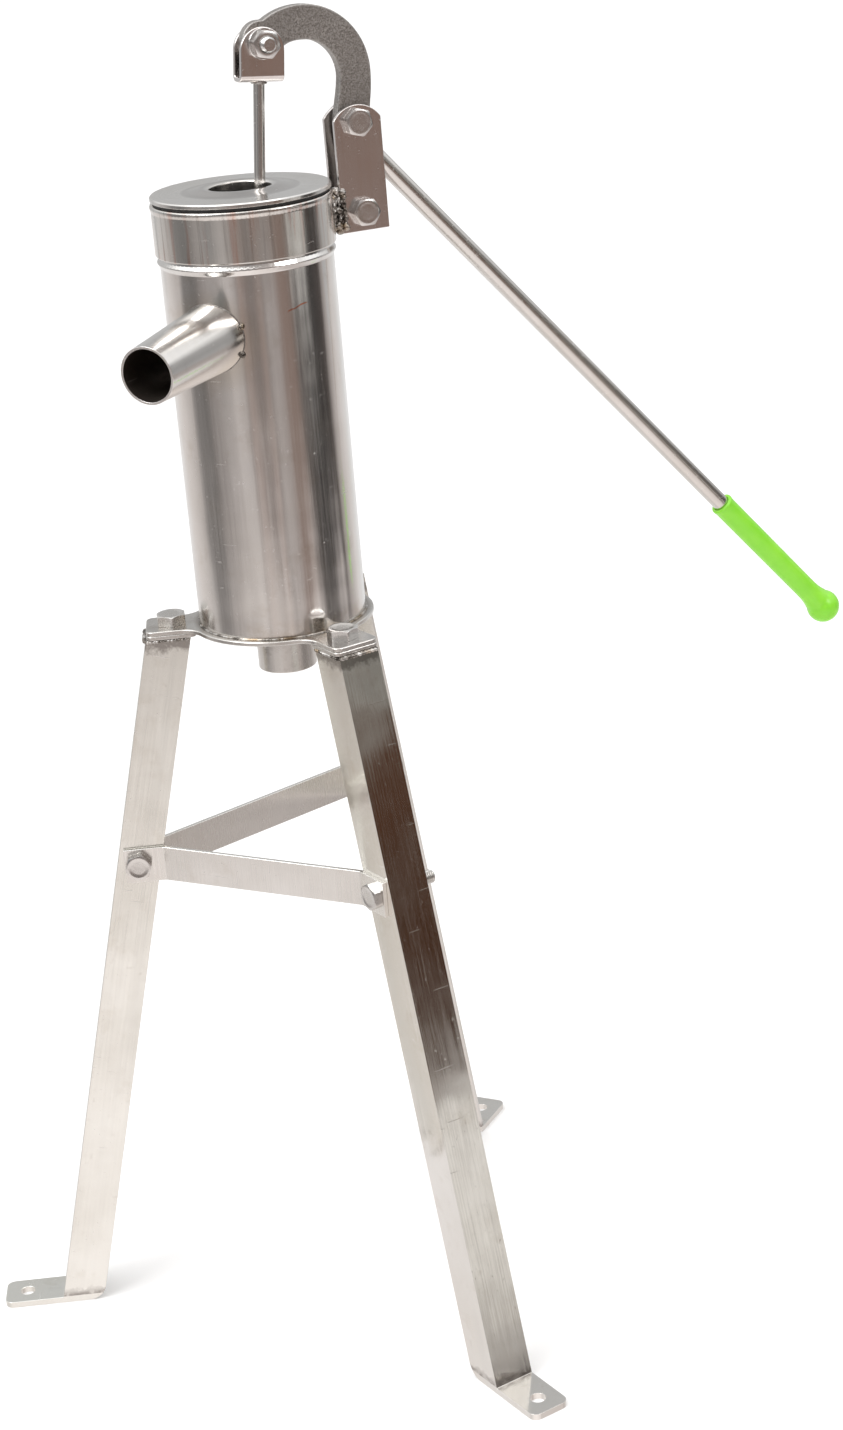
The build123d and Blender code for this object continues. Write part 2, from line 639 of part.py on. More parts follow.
with BuildPart() as pump_rod:
    with BuildSketch(Plane(origin=foot_world + RU * 5.4, x_dir=RX, z_dir=RU)):
        Circle(ROD_R)
    extrude(amount=ROD_LEN - 24.5 - 5.4)
show_out(pump_rod, "pump_rod")
with BuildPart() as rod_eye:
    with BuildSketch(Plane(origin=foot_world - EN * 4.0, x_dir=RX, z_dir=EN)):
        Circle(6.5)
        Circle(4.0, mode=Mode.SUBTRACT)
    extrude(amount=8.0)
    with BuildSketch(Plane(origin=foot_world + RU * 30, x_dir=RX, z_dir=RU)):
        Circle(ROD_R)
    extrude(amount=-24.6, mode=Mode.SUBTRACT)
show_out(rod_eye, "rod_foot_eye")
with BuildPart() as rod_pin:
    with BuildSketch(Plane(origin=foot_world - EN * 12.0, x_dir=RX, z_dir=EN)):
        Circle(4.0)
    extrude(amount=24.0)
    with BuildSketch(Plane(origin=foot_world - EN * 12.0, x_dir=RX, z_dir=EN)):
        Circle(6.0)
    extrude(amount=2.0)
    with BuildSketch(Plane(origin=foot_world + EN * 10.0, x_dir=RX, z_dir=EN)):
        Circle(6.0)
    extrude(amount=2.0)
show_out(rod_pin, "rod_foot_pin")

# ================================================================= PISTON
FZ = foot_world.Z
with BuildPart() as yoke:
    # two cheeks with level slots for the foot pin, on a cross bar and stem
    with BuildSketch(lever_plane(-9.5)):
        with Locations((0, FZ + 0.5)):
            RectangleRounded(38.0, 28.0, 4.0)
        with Locations((0, FZ)):
            SlotOverall(25.4, 13.6, mode=Mode.SUBTRACT)
    extrude(amount=19.0)
    with BuildSketch(lever_plane(-5.2)):
        with Locations((0, FZ + 10)):
            Rectangle(60.0, 38.8)
    extrude(amount=10.4, mode=Mode.SUBTRACT)
    with BuildSketch(Plane.XY.offset(FZ - 22)):
        Circle(8.0)
    extrude(amount=12.0)
    with BuildSketch(Plane.XY.offset(FZ - 22)):
        Circle(5.0)
    extrude(amount=-14.0)
show_out(yoke, "piston_yoke")

PZ = FZ - 22.0            # top of the lower plate
with BuildPart() as lower_plate:
    with BuildSketch(Plane.XY.offset(PZ - 5)):
        Circle(50.0)
        Circle(5.0, mode=Mode.SUBTRACT)
        with PolarLocations(24, 6):
            Circle(5.0, mode=Mode.SUBTRACT)
        with PolarLocations(43.5, 4, start_angle=45):
            Circle(2.6, mode=Mode.SUBTRACT)
    extrude(amount=5)
show_out(lower_plate, "piston_lower_plate")
with BuildPart() as cup:
    with BuildSketch(Plane.XZ):
        with BuildLine():
            Polyline((36, PZ), (PISTON_R - 1.5, PZ), (PISTON_R, PZ + 1.5), (PISTON_R, PZ + 17),
                     (PISTON_R - 1.5, PZ + 17), (PISTON_R - 3, PZ + 15), (PISTON_R - 3, PZ + 3), (36, PZ + 3),
                     close=True)
        make_face()
    revolve(axis=Axis.Z)
    with BuildSketch(Plane.XY.offset(PZ)):
        with PolarLocations(43.5, 4, start_angle=45):
            Circle(2.6)
    extrude(amount=3, mode=Mode.SUBTRACT)
show_out(cup, "piston_cup_leather")
with BuildPart() as clamp_ring:
    with BuildSketch(Plane.XY.offset(PZ + 3)):
        Circle(51.4)
        Circle(36, mode=Mode.SUBTRACT)
        with PolarLocations(43.5, 4, start_angle=45):
            Circle(2.6, mode=Mode.SUBTRACT)
    extrude(amount=4)
show_out(clamp_ring, "piston_clamp_ring")
ring_heads = [Plane(origin=radial(az) * 43.5 + EZ * (PZ + 7), x_dir=radial(az), z_dir=(0, 0, 1))
              for az in (45, 135, 225, 315)]
with BuildPart() as ring_screws:
    with BuildSketch(*ring_heads):
        Circle(4.2)
    extrude(amount=3.0)
    with BuildSketch(*ring_heads):
        Circle(2.5)
    extrude(amount=-12.0)
show_out(ring_screws, "piston_ring_screws")
with BuildPart() as piston_nut:
    with BuildSketch(Plane.XY.offset(PZ - 13)):
        RegularPolygon(M10_AF / 2, 6, major_radius=False)
        Circle(5.0, mode=Mode.SUBTRACT)
    extrude(amount=8.0)
show_out(piston_nut, "piston_nut")
with BuildPart() as piston_valve:
    with BuildSketch(Plane.XY.offset(PZ + 0.1)):
        Circle(33)
        Circle(8.4, mode=Mode.SUBTRACT)
    extrude(amount=3.0)
show_out(piston_valve, "piston_valve_disc")
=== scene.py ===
import bpy, bmesh, json
from math import sin, cos, tan, pi, radians, degrees, hypot, atan, atan2, sqrt
from mathutils import Vector, Matrix, noise

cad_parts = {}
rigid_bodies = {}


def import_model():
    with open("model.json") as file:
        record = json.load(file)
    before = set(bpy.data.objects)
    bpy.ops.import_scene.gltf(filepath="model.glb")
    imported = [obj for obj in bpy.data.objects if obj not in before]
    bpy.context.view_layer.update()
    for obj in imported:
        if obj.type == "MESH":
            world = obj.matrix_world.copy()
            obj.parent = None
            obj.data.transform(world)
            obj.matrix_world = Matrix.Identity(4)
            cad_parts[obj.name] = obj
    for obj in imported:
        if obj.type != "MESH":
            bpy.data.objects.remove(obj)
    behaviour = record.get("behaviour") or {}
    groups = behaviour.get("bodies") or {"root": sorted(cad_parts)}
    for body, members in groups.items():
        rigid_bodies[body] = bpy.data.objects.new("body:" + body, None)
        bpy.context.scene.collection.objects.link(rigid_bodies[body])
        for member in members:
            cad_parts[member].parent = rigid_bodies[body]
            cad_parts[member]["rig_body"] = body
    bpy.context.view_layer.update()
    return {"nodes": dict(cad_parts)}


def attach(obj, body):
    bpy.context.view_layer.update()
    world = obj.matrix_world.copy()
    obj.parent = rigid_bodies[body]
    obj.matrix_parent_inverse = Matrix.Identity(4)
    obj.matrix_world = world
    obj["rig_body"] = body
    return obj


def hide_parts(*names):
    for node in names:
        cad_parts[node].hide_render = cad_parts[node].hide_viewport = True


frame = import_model()
NODES = frame["nodes"]
SCN = bpy.context.scene
COL = SCN.collection

MM = 0.001
ER = Vector((cos(radians(50)), sin(radians(50)), 0))
EN = Vector((sin(radians(50)), -cos(radians(50)), 0))
EZ = Vector((0, 0, 1))


def lev(r, z, off=0.0):
    return ER * (r * MM) + EZ * (z * MM) + EN * (off * MM)


# =====================================================================================
# node helpers for the procedural materials
# =====================================================================================
class Mat:
    def __init__(self, name):
        self.m = bpy.data.materials.new(name)
        self.m.use_nodes = True
        self.nt = self.m.node_tree
        self.nt.nodes.clear()
        self.out = self.n("ShaderNodeOutputMaterial")
        self.b = self.n("ShaderNodeBsdfPrincipled")
        self.l(self.b.outputs[0], self.out.inputs[0])
        self.co = self.n("ShaderNodeTexCoord").outputs["Object"]

    def n(self, t, **kw):
        nd = self.nt.nodes.new(t)
        for k, v in kw.items():
            setattr(nd, k, v)
        return nd

    def l(self, a, b):
        self.nt.links.new(a, b)

    def put(self, sock, v):
        if hasattr(v, "is_output"):
            self.l(v, sock)
        else:
            sock.default_value = v

    def map(self, scale=(1, 1, 1), rot=(0, 0, 0), loc=(0, 0, 0), src=None):
        n = self.n("ShaderNodeMapping")
        self.l(src or self.co, n.inputs[0])
        n.inputs["Location"].default_value = loc
        n.inputs["Rotation"].default_value = rot
        n.inputs["Scale"].default_value = scale
        return n.outputs[0]

    def noise(self, scale, detail=3, rough=0.55, vec=None, dist=0.0):
        n = self.n("ShaderNodeTexNoise")
        self.l(vec or self.co, n.inputs["Vector"])
        n.inputs["Scale"].default_value = scale
        n.inputs["Detail"].default_value = detail
        n.inputs["Roughness"].default_value = rough
        n.inputs["Distortion"].default_value = dist
        return n.outputs["Fac"]

    def voronoi(self, scale, vec=None, feature="F1", out="Distance"):
        n = self.n("ShaderNodeTexVoronoi", feature=feature)
        self.l(vec or self.co, n.inputs["Vector"])
        n.inputs["Scale"].default_value = scale
        return n.outputs[out]

    def ramp(self, fac, stops, interp="LINEAR"):
        n = self.n("ShaderNodeValToRGB")
        n.color_ramp.interpolation = interp
        e = n.color_ramp.elements
        e[0].position, e[1].position = stops[0][0], stops[-1][0]
        for i, (p, c) in enumerate(stops):
            at = e[0] if i == 0 else e[len(e) - 1] if i == len(stops) - 1 else e.new(p)
            at.color = (c, c, c, 1) if isinstance(c, (int, float)) else (*c, 1)
        self.l(fac, n.inputs[0])
        return n.outputs[0]

    def rng(self, v, a, b, c=0.0, d=1.0, smooth=False):
        n = self.n("ShaderNodeMapRange")
        if smooth:
            n.interpolation_type = "SMOOTHSTEP"
        self.put(n.inputs[0], v)
        for i, x in zip((1, 2, 3, 4), (a, b, c, d)):
            n.inputs[i].default_value = x
        return n.outputs[0]

    def math(self, op, a, b=None, c=None, clamp=False):
        n = self.n("ShaderNodeMath", operation=op, use_clamp=clamp)
        self.put(n.inputs[0], a)
        if b is not None:
            self.put(n.inputs[1], b)
        if c is not None:
            self.put(n.inputs[2], c)
        return n.outputs[0]

    def mix(self, fac, a, b, kind="MIX"):
        n = self.n("ShaderNodeMix", data_type="RGBA", blend_type=kind)
        self.put(n.inputs[0], fac)
        self.put(n.inputs[6], a if hasattr(a, "is_output") else (*a, 1))
        self.put(n.inputs[7], b if hasattr(b, "is_output") else (*b, 1))
        return n.outputs[2]

    def sep(self, src=None):
        n = self.n("ShaderNodeSeparateXYZ")
        self.l(src or self.co, n.inputs[0])
        return n.outputs

    def comb(self, x, y, z):
        n = self.n("ShaderNodeCombineXYZ")
        self.put(n.inputs[0], x)
        self.put(n.inputs[1], y)
        self.put(n.inputs[2], z)
        return n.outputs[0]

    def bump(self, height, strength=0.3, dist=0.001, normal=None):
        n = self.n("ShaderNodeBump")
        n.inputs["Strength"].default_value = strength
        n.inputs["Distance"].default_value = dist
        self.l(height, n.inputs["Height"])
        if normal is not None:
            self.l(normal, n.inputs["Normal"])
        return n.outputs[0]

    def edge(self, r=0.0012):
        # 0 on flats, towards 1 where the surface turns within r
        n = self.n("ShaderNodeBevel")
        n.samples = 4
        n.inputs["Radius"].default_value = r
        g = self.n("ShaderNodeNewGeometry")
        d = self.n("ShaderNodeVectorMath", operation="DOT_PRODUCT")
        self.l(n.outputs[0], d.inputs[0])
        self.l(g.outputs["Normal"], d.inputs[1])
        return self.rng(d.outputs["Value"], 0.995, 0.80, 0.0, 1.0)



def frame_vec(M, origin, xdir, ydir, zdir):
    # a vector of coordinates along three directions from an origin, in metres
    sub = M.n("ShaderNodeVectorMath", operation="SUBTRACT")
    M.l(M.co, sub.inputs[0])
    sub.inputs[1].default_value = origin
    outs = []
    for d in (xdir, ydir, zdir):
        dot = M.n("ShaderNodeVectorMath", operation="DOT_PRODUCT")
        M.l(sub.outputs[0], dot.inputs[0])
        dot.inputs[1].default_value = d
        outs.append(dot.outputs["Value"])
    return M.comb(*outs)


# =====================================================================================
# camera
# =====================================================================================
YAW, PITCH, ROLL = 0.0496, 0.3547, -0.0834
f = Vector((sin(YAW) * cos(PITCH), cos(YAW) * cos(PITCH), -sin(PITCH)))
r0 = Vector((cos(YAW), -sin(YAW), 0))
u0 = r0.cross(f)
r2 = r0 * cos(ROLL) + u0 * sin(ROLL)
u2 = -r0 * sin(ROLL) + u0 * cos(ROLL)
RZ = Matrix.Rotation(radians(30.27), 3, "Z")
cam_data = bpy.data.cameras.new("camera")
cam = bpy.data.objects.new("camera", cam_data)
COL.objects.link(cam)
m3 = Matrix((RZ @ r2, RZ @ u2, RZ @ -f)).transposed()
cam.matrix_world = Matrix.Translation(RZ @ Vector((0, -1.79277, 1.09435))) @ m3.to_4x4()
cam_data.sensor_fit = "VERTICAL"
cam_data.sensor_height = 36.0
cam_data.lens = 68.99
cam_data.clip_start, cam_data.clip_end = 0.05, 200
SCN.camera = cam
SCN.view_settings.view_transform = "Standard"

# =====================================================================================
# floor, studio surroundings and lights
# =====================================================================================
fl = bpy.data.meshes.new("floor")
fl.from_pydata([(-30, -30, 0), (30, -30, 0), (30, 30, 0), (-30, 30, 0)], [], [(0, 1, 2, 3)])
floor = bpy.data.objects.new("floor", fl)
COL.objects.link(floor)
F = Mat("floor_paper")
F.put(F.b.inputs["Base Color"], F.mix(F.rng(F.noise(3.0, 4), 0.3, 0.7), (0.90, 0.90, 0.90), (0.92, 0.918, 0.915)))
F.b.inputs["Roughness"].default_value = 0.9
F.b.inputs["Specular IOR Level"].default_value = 0.1
fl.materials.append(F.m)
floor.visible_glossy = False


def studio_world():
    w = bpy.data.worlds.new("studio")
    SCN.world = w
    w.use_nodes = True
    nt = w.node_tree
    nt.nodes.clear()
    M = Mat.__new__(Mat)
    M.nt = nt
    M.co = M.n("ShaderNodeTexCoord").outputs["Generated"]
    out = M.n("ShaderNodeOutputWorld")
    bg = M.n("ShaderNodeBackground")
    M.l(bg.outputs[0], out.inputs[0])
    # degrees to the right of the lens side of the room, and degrees above level
    wob = M.noise(2.2, 3, 0.5)
    x, y, z = M.sep(M.map(rot=(0, 0, radians(59.7))))
    # after the turn, +X points at the lens side
    az = M.math("MULTIPLY", M.math("ARCTAN2", y, x), 180 / pi)
    az = M.math("ADD", az, M.rng(wob, 0.3, 0.7, -5, 5))
    el = M.math("MULTIPLY", M.math("ARCSINE", z), 180 / pi)
    el2 = M.math("ADD", el, M.rng(M.noise(3.1, 3, 0.5), 0.3, 0.7, -2.5, 2.5))
    t = M.rng(az, -180, 180)

    def table(stops):
        return M.ramp(t, [((a + 180) / 360.0, c) for a, c in stops])

    mid = table(MID)
    high = table(HIGH)
    low = table(LOW)
    up = table(UP)
    c = M.mix(M.rng(el2, -20.5, -17.5, smooth=True), low, mid)
    c = M.mix(M.rng(el2, -10.2, -9.0, smooth=True), c, high)
    # a pale sheet low on the lens' right, a dark brown thing above it and a dull green-grey one above that
    side = M.math("MULTIPLY", M.rng(az, 49, 53, smooth=True), M.rng(az, 84, 76, smooth=True))
    sheet = M.math("MULTIPLY", side, M.math("MULTIPLY", M.rng(el2, -11.4, -10.8, smooth=True), M.rng(el2, -4.0, -5.0, smooth=True)))
    c = M.mix(sheet, c, (0.86, 0.83, 0.79))
    dark = M.math("MULTIPLY", side, M.math("MULTIPLY", M.rng(el2, -5.0, -4.4, smooth=True), M.rng(el2, 3.1, 2.7, smooth=True)))
    strip = M.ramp(M.rng(M.noise(1.0, 3, 0.6, vec=M.map(scale=(26, 26, 3))), 0.35, 0.68), [(0.0, (0.012, 0.007, 0.005)), (0.4, (0.085, 0.036, 0.018)), (0.7, (0.022, 0.015, 0.012)), (1.0, (0.20, 0.12, 0.08))])
    c = M.mix(dark, c, strip)
    dull_ = M.math("MULTIPLY", side, M.math("MULTIPLY", M.rng(el2, 2.8, 3.1, smooth=True), M.rng(el2, 12, 10, smooth=True)))
    strip2 = M.ramp(M.rng(M.noise(1.0, 3, 0.6, vec=M.map(scale=(22, 22, 6))), 0.35, 0.68), [(0.0, (0.10, 0.095, 0.085)), (0.5, (0.34, 0.33, 0.30)), (1.0, (0.66, 0.64, 0.60))])
    c = M.mix(dull_, c, strip2)
    c = M.mix(M.rng(el2, 9, 24, smooth=True), c, up)
    M.l(c, bg.inputs[0])
    bg.inputs[1].default_value = 1.0


W = (1.0, 0.985, 0.97)


def g(v, warm=0.0):
    return (v, v * (1 - 0.125 * warm), v * (1 - 0.175 * warm))


MID = [(-180, g(0.95)), (-132, g(0.78, .5)), (-112, g(0.60, .6)), (-98, g(0.24, .5)), (-84, g(0.17, .6)), (-66, g(0.32, .7)),
       (-50, g(0.40, .7)), (-38, g(0.62, .6)), (-27, g(0.54, .6)), (-19, g(0.34, .9)), (-12, g(0.42, 1.6)), (-5, g(0.26, 1.2)), (2, g(0.27, 1.3)),
       (9, g(0.40, 1.6)), (15, g(0.33, .8)), (22, g(0.50, .7)), (29, g(0.40, .9)), (38, g(0.28, 1.9)), (47, g(0.25, 2.1)), (56, g(0.11, 1.2)),
       (72, g(0.06, .6)), (90, g(0.055, .7)), (102, g(0.07, 1.4)), (111, g(0.42, .8)), (128, g(0.72, .5)), (157, g(0.85)), (180, g(0.95))]
HIGH = [(-180, g(0.55)), (-130, g(0.6)), (-100, g(0.25)), (-84, g(0.22)), (-62, g(0.5, .5)), (-48, g(0.24)), (-30, g(0.2)), (-8, g(0.30, 1.6)),
        (0, g(0.14)), (12, g(0.28, 1.6)), (22, g(0.16, .8)), (34, g(0.22, 2.0)), (42, g(0.26, 2.6)), (50, g(0.13, 1.6)), (64, g(0.10, 1.0)), (78, g(0.05, .9)), (98, g(0.10, .8)), (112, g(0.5)), (150, g(0.6)), (180, g(0.55))]
LOW = [(-180, g(0.95)), (-120, g(0.92, .3)), (-80, g(0.80, .5)), (-40, g(1.05, .5)), (0, g(1.10, .5)), (40, g(0.95, .6)), (80, g(0.6, .8)), (120, g(0.8, .4)), (180, g(0.95))]
UP = [(-180, g(0.50)), (-120, g(1.2)), (-90, g(1.7)), (-50, g(1.0)), (0, g(0.35, .5)), (50, g(0.6, .8)), (90, g(1.2)), (130, g(1.0)), (180, g(0.50))]
studio_world()


def area(name, loc, target, size, power, colour=(1, 1, 1), glossy=True):
    d = bpy.data.lights.new(name, "AREA")
    d.shape = "RECTANGLE"
    d.size, d.size_y = size
    d.energy = power
    d.color = colour
    o = bpy.data.objects.new(name, d)
    COL.objects.link(o)
    loc, target = Vector(loc), Vector(target)
    o.matrix_world = Matrix.Translation(loc) @ (target - loc).to_track_quat("-Z", "Y").to_matrix().to_4x4()
    o.visible_glossy = glossy
    o.visible_camera = False
    return o


CDIR = Vector((0.504, -0.864, 0))          # towards the lens side
CRT = Vector((0.864, 0.504, 0))            # towards the lens' right
area("key", CDIR * 1.2 - CRT * 1.9 + EZ * 2.6, (0, 0, 0.45), (1.6, 1.2), 26)
area("fill", CDIR * 1.4 + CRT * 2.0 + EZ * 2.2, (0, 0, 0.45), (1.2, 1.2), 14)
sun = bpy.data.lights.new("overhead", "SUN")
sun.energy = 1.25
sun.angle = radians(70)
so = bpy.data.objects.new("overhead", sun)
COL.objects.link(so)
so.matrix_world = Matrix.Rotation(radians(12), 4, "X")


# =====================================================================================
# materials
# =====================================================================================
def steel(name, tint=(0.80, 0.79, 0.775), rough=(0.10, 0.24), streak=None, grain=0.0, wob=0.25, stain=0.25, aniso=0.0,
          scratches=0.5, extra=None):
    M = Mat(name)
    b = M.b
    b.inputs["Metallic"].default_value = 1.0
    co = streak(M) if streak else M.co
    # fine brushing: noise drawn out along the third axis
    fine = M.noise(1.0, 4, 0.6, vec=M.map(scale=(900, 900, 14), src=co))
    broad = M.noise(1.0, 3, 0.5, vec=M.map(scale=(60, 60, 3.5), src=co))
    cloud = M.noise(9.0, 5, 0.6)
    blot = M.noise(38.0, 4, 0.65)
    scr = M.noise(1.0, 2, 0.5, vec=M.map(scale=(420, 30, 380), rot=(0.5, 0.3, 0.8), src=co))
    scr2 = M.noise(1.0, 2, 0.5, vec=M.map(scale=(22, 520, 460), rot=(0.2, 0.9, 0.4), src=co))
    lines = M.math("MAXIMUM", M.rng(scr, 0.70, 0.74), M.rng(scr2, 0.71, 0.75))
    edge = M.edge(0.0010)
    c = M.mix(M.rng(cloud, 0.35, 0.7), tint, tuple(v * k for v, k in zip(tint, (0.90, 0.885, 0.86))))
    c = M.mix(M.math("MULTIPLY", M.rng(blot, 0.56, 0.75), stain), c, tuple(v * k for v, k in zip(tint, (0.72, 0.66, 0.58))))
    c = M.mix(M.math("MULTIPLY", M.rng(broad, 0.55, 0.75), 0.25), c, tuple(v * 0.78 for v in tint))
    c = M.mix(M.math("MULTIPLY", lines, 0.35 * scratches), c, (0.95, 0.95, 0.94))
    # edges brightened in the base colour: partly edge wear, partly a painted highlight
    c = M.mix(M.math("MULTIPLY", edge, 0.45), c, (0.93, 0.93, 0.92))
    if extra:
        c = extra(M, c)
    M.l(c, b.inputs["Base Color"])
    r = M.math("ADD", M.rng(cloud, 0.3, 0.75, rough[0], rough[1]), M.rng(fine, 0.35, 0.7, -0.02, 0.05))
    r = M.math("ADD", r, M.math("MULTIPLY", lines, 0.12))
    M.l(r, b.inputs["Roughness"])
    if aniso:
        b.inputs["Anisotropic"].default_value = aniso
    n1 = M.bump(fine, 0.10 + grain, 0.00012)
    n2 = M.bump(lines, 0.15 * scratches, 0.00006, n1)
    n3 = M.bump(M.noise(14.0, 2, 0.4), wob, 0.0012, n2)
    M.l(n3, b.inputs["Normal"])
    return M


def leg_frame(az):
    az = radians(az)
    r, t = Vector((cos(az), sin(az), 0)), Vector((-sin(az), cos(az), 0))
    ax = (EZ - r * 0.2343).normalized()
    return lambda M: frame_vec(M, r * 0.2138, t, ax.cross(t), ax)


def barrel_marks(M, c):
    # smears wiped up and down the wall, heat tint round the foot and the spout, one rusty scratch
    smear = M.noise(1.0, 4, 0.6, vec=M.map(scale=(34, 34, 7)))
    c = M.mix(M.rng(smear, 0.50, 0.72, 0, 0.30), c, (0.56, 0.53, 0.51))
    x, y, z = M.sep()
    foot = M.math("MULTIPLY", M.rng(z, 0.528, 0.5145), M.rng(M.noise(60, 3), 0.4, 0.62))
    c = M.mix(M.math("MULTIPLY", foot, 0.6), c, (0.46, 0.36, 0.24))
    v = M.sep(frame_vec(M, Vector((0, -0.0530, 0.717)), Vector((1, 0, 0)), Vector((0, 0, 1)), Vector((0, 1, 0))))
    rad = M.math("SQRT", M.math("ADD", M.math("POWER", v[0], 2.0), M.math("POWER", v[1], 2.0)))
    ring = M.math("MULTIPLY", M.rng(rad, 0.036, 0.024), M.rng(y, 0.0, -0.02))
    c = M.mix(M.math("MULTIPLY", ring, 0.35), c, (0.60, 0.52, 0.40))
    a = radians(-29)
    t = Vector((-sin(a), cos(a), 0))
    d = (t * 0.95 + EZ * 0.22).normalized()
    q = M.sep(frame_vec(M, Vector((0.0571 * cos(a), 0.0571 * sin(a), 0.7345)), d, Vector((cos(a), sin(a), 0)).cross(d), Vector((cos(a), sin(a), 0))))
    wave = M.rng(M.noise(300, 2), 0.3, 0.7, -0.0004, 0.0004)
    line = M.rng(M.math("ABSOLUTE", M.math("ADD", q[1], wave)), 0.0006, 0.0002)
    span = M.rng(M.math("ABSOLUTE", q[0]), 0.0085, 0.0060)
    near = M.rng(M.math("ABSOLUTE", q[2]), 0.006, 0.004)
    mask = M.math("MULTIPLY", M.math("MULTIPLY", line, span), near)
    return M.mix(mask, c, (0.75, 0.26, 0.15))


def collar_marks(M, c):
    # coppery smears running up and down the collar
    x, y, z = M.sep()
    th = M.math("ARCTAN2", y, x)
    s = M.noise(1.0, 3, 0.6, vec=M.comb(M.math("MULTIPLY", th, 9.0), 0.0, M.math("MULTIPLY", z, 9.0)))
    c = M.mix(M.rng(s, 0.54, 0.70, 0, 0.75), c, (0.62, 0.38, 0.31))
    s2 = M.noise(1.0, 3, 0.6, vec=M.comb(M.math("MULTIPLY", th, 14.0), 3.0, M.math("MULTIPLY", z, 6.0)))
    return M.mix(M.rng(s2, 0.55, 0.72, 0, 0.6), c, (0.30, 0.28, 0.26))


def lid_rings(M, c):
    x, y, z = M.sep()
    r = M.math("SQRT", M.math("ADD", M.math("POWER", x, 2.0), M.math("POWER", y, 2.0)))
    lines = M.noise(1.0, 3, 0.6, vec=M.comb(M.math("MULTIPLY", r, 900.0), 0.0, 0.0))
    c = M.mix(M.rng(lines, 0.4, 0.7, 0, 0.35), c, (0.50, 0.49, 0.48))
    # painted shade: the sloping crown about 25 to 37.5 mm from the axis is darkened to stand in for the shade on its
    # slope
    crown_painted_shade = M.math("MULTIPLY", M.rng(r, 0.040, 0.0375, smooth=True), M.rng(r, 0.021, 0.025, smooth=True))
    return M.mix(M.math("MULTIPLY", crown_painted_shade, 0.45), c, (0.36, 0.34, 0.33))


def plate_marks(M, c):
    # the plate darkens towards the run of weld at the foot of the barrel
    x, y, z = M.sep()
    r = M.math("SQRT", M.math("ADD", M.math("POWER", x, 2.0), M.math("POWER", y, 2.0)))
    near = M.math("MULTIPLY", M.rng(r, 0.0625, 0.0575, smooth=True), M.rng(z, 0.5125, 0.5140))
    c = M.mix(M.math("MULTIPLY", near, 0.7), c, (0.20, 0.165, 0.13))
    mott = M.noise(75, 4, 0.65)
    return M.mix(M.rng(mott, 0.5, 0.72, 0, 0.45), c, (0.42, 0.39, 0.36))


def leg_ends(M, c):
    # heat marks at the welded top and scorched, ground metal where the foot is turned
    x, y, z = M.sep()
    nz = M.noise(130, 4, 0.65)
    foot = M.math("MULTIPLY", M.rng(M.math("ADD", z, M.rng(nz, 0.3, 0.7, -0.003, 0.003)), 0.011, 0.0070), M.rng(nz, 0.42, 0.6, 0.35, 1.0))
    foot = M.math("MULTIPLY", foot, M.rng(z, 0.0047, 0.0052))
    c = M.mix(M.math("MULTIPLY", foot, 0.8), c, (0.17, 0.145, 0.13))
    top = M.rng(M.math("ADD", z, M.rng(nz, 0.3, 0.7, -0.004, 0.004)), 0.4985, 0.5035)
    c = M.mix(M.math("MULTIPLY", top, 0.75), c, (0.24, 0.215, 0.20))
    return M.mix(M.math("MULTIPLY", M.rng(nz, 0.62, 0.7), 0.12), c, (0.45, 0.38, 0.30))


MATS = {}
MATS["barrel"] = steel("steel_polished_barrel", (0.82, 0.805, 0.79), (0.10, 0.19), None, wob=0.6, stain=0.35, extra=barrel_marks)
MATS["spout"] = steel("steel_spout", (0.82, 0.805, 0.79), (0.12, 0.2), None, wob=0.4, stain=0.3)
# spout's inner wall: rougher steel, whose dark tint is painted shade inside the bore
MATS["bore"] = steel("steel_bore_painted_shade", (0.20, 0.17, 0.15), (0.45, 0.6), None, wob=0.3, stain=0.4)
MATS["collar"] = steel("steel_collar", (0.76, 0.745, 0.72), (0.13, 0.23), lambda M: M.map(rot=(0, 0, 0)), grain=0.08, wob=0.5, extra=collar_marks)
MATS["lid"] = steel("steel_lid", (0.80, 0.785, 0.765), (0.16, 0.26), None, wob=0.3, extra=lid_rings)
MATS["leg_l"] = steel("steel_leg_left", (0.865, 0.865, 0.825), (0.16, 0.30), leg_frame(210), stain=0.3, wob=0.25, extra=leg_ends)
MATS["leg_r"] = steel("steel_leg_right", (0.86, 0.845, 0.82), (0.06, 0.14), leg_frame(330), stain=0.3, wob=0.3, grain=-0.06, extra=leg_ends)
MATS["leg_b"] = steel("steel_leg_rear", (0.84, 0.825, 0.80), (0.18, 0.30), leg_frame(90), stain=0.3, extra=leg_ends)
MATS["strap"] = steel("steel_strap", (0.90, 0.89, 0.865), (0.20, 0.32), lambda M: M.map(rot=(0, 0, 0)), stain=0.25)
MATS["flange"] = steel("steel_plate", (0.68, 0.665, 0.645), (0.16, 0.28), None, stain=0.5, wob=0.5, extra=plate_marks)
MATS["bracket"] = steel("steel_bracket", (0.80, 0.765, 0.755), (0.12, 0.24), None, stain=0.45, wob=0.45)
MATS["rod"] = steel("bright_drawn", (0.74, 0.72, 0.70), (0.14, 0.22), None, stain=0.15, wob=0.1)
MATS["fastener"] = steel("fastener_steel", (0.74, 0.73, 0.72), (0.18, 0.32), lambda M: M.map(scale=(0.6, 0.6, 32)), grain=0.25, stain=0.6, wob=0.7, scratches=0.2)
MATS["brass"] = steel("brass_disc", (0.74, 0.55, 0.25), (0.2, 0.35), None, stain=0.3)


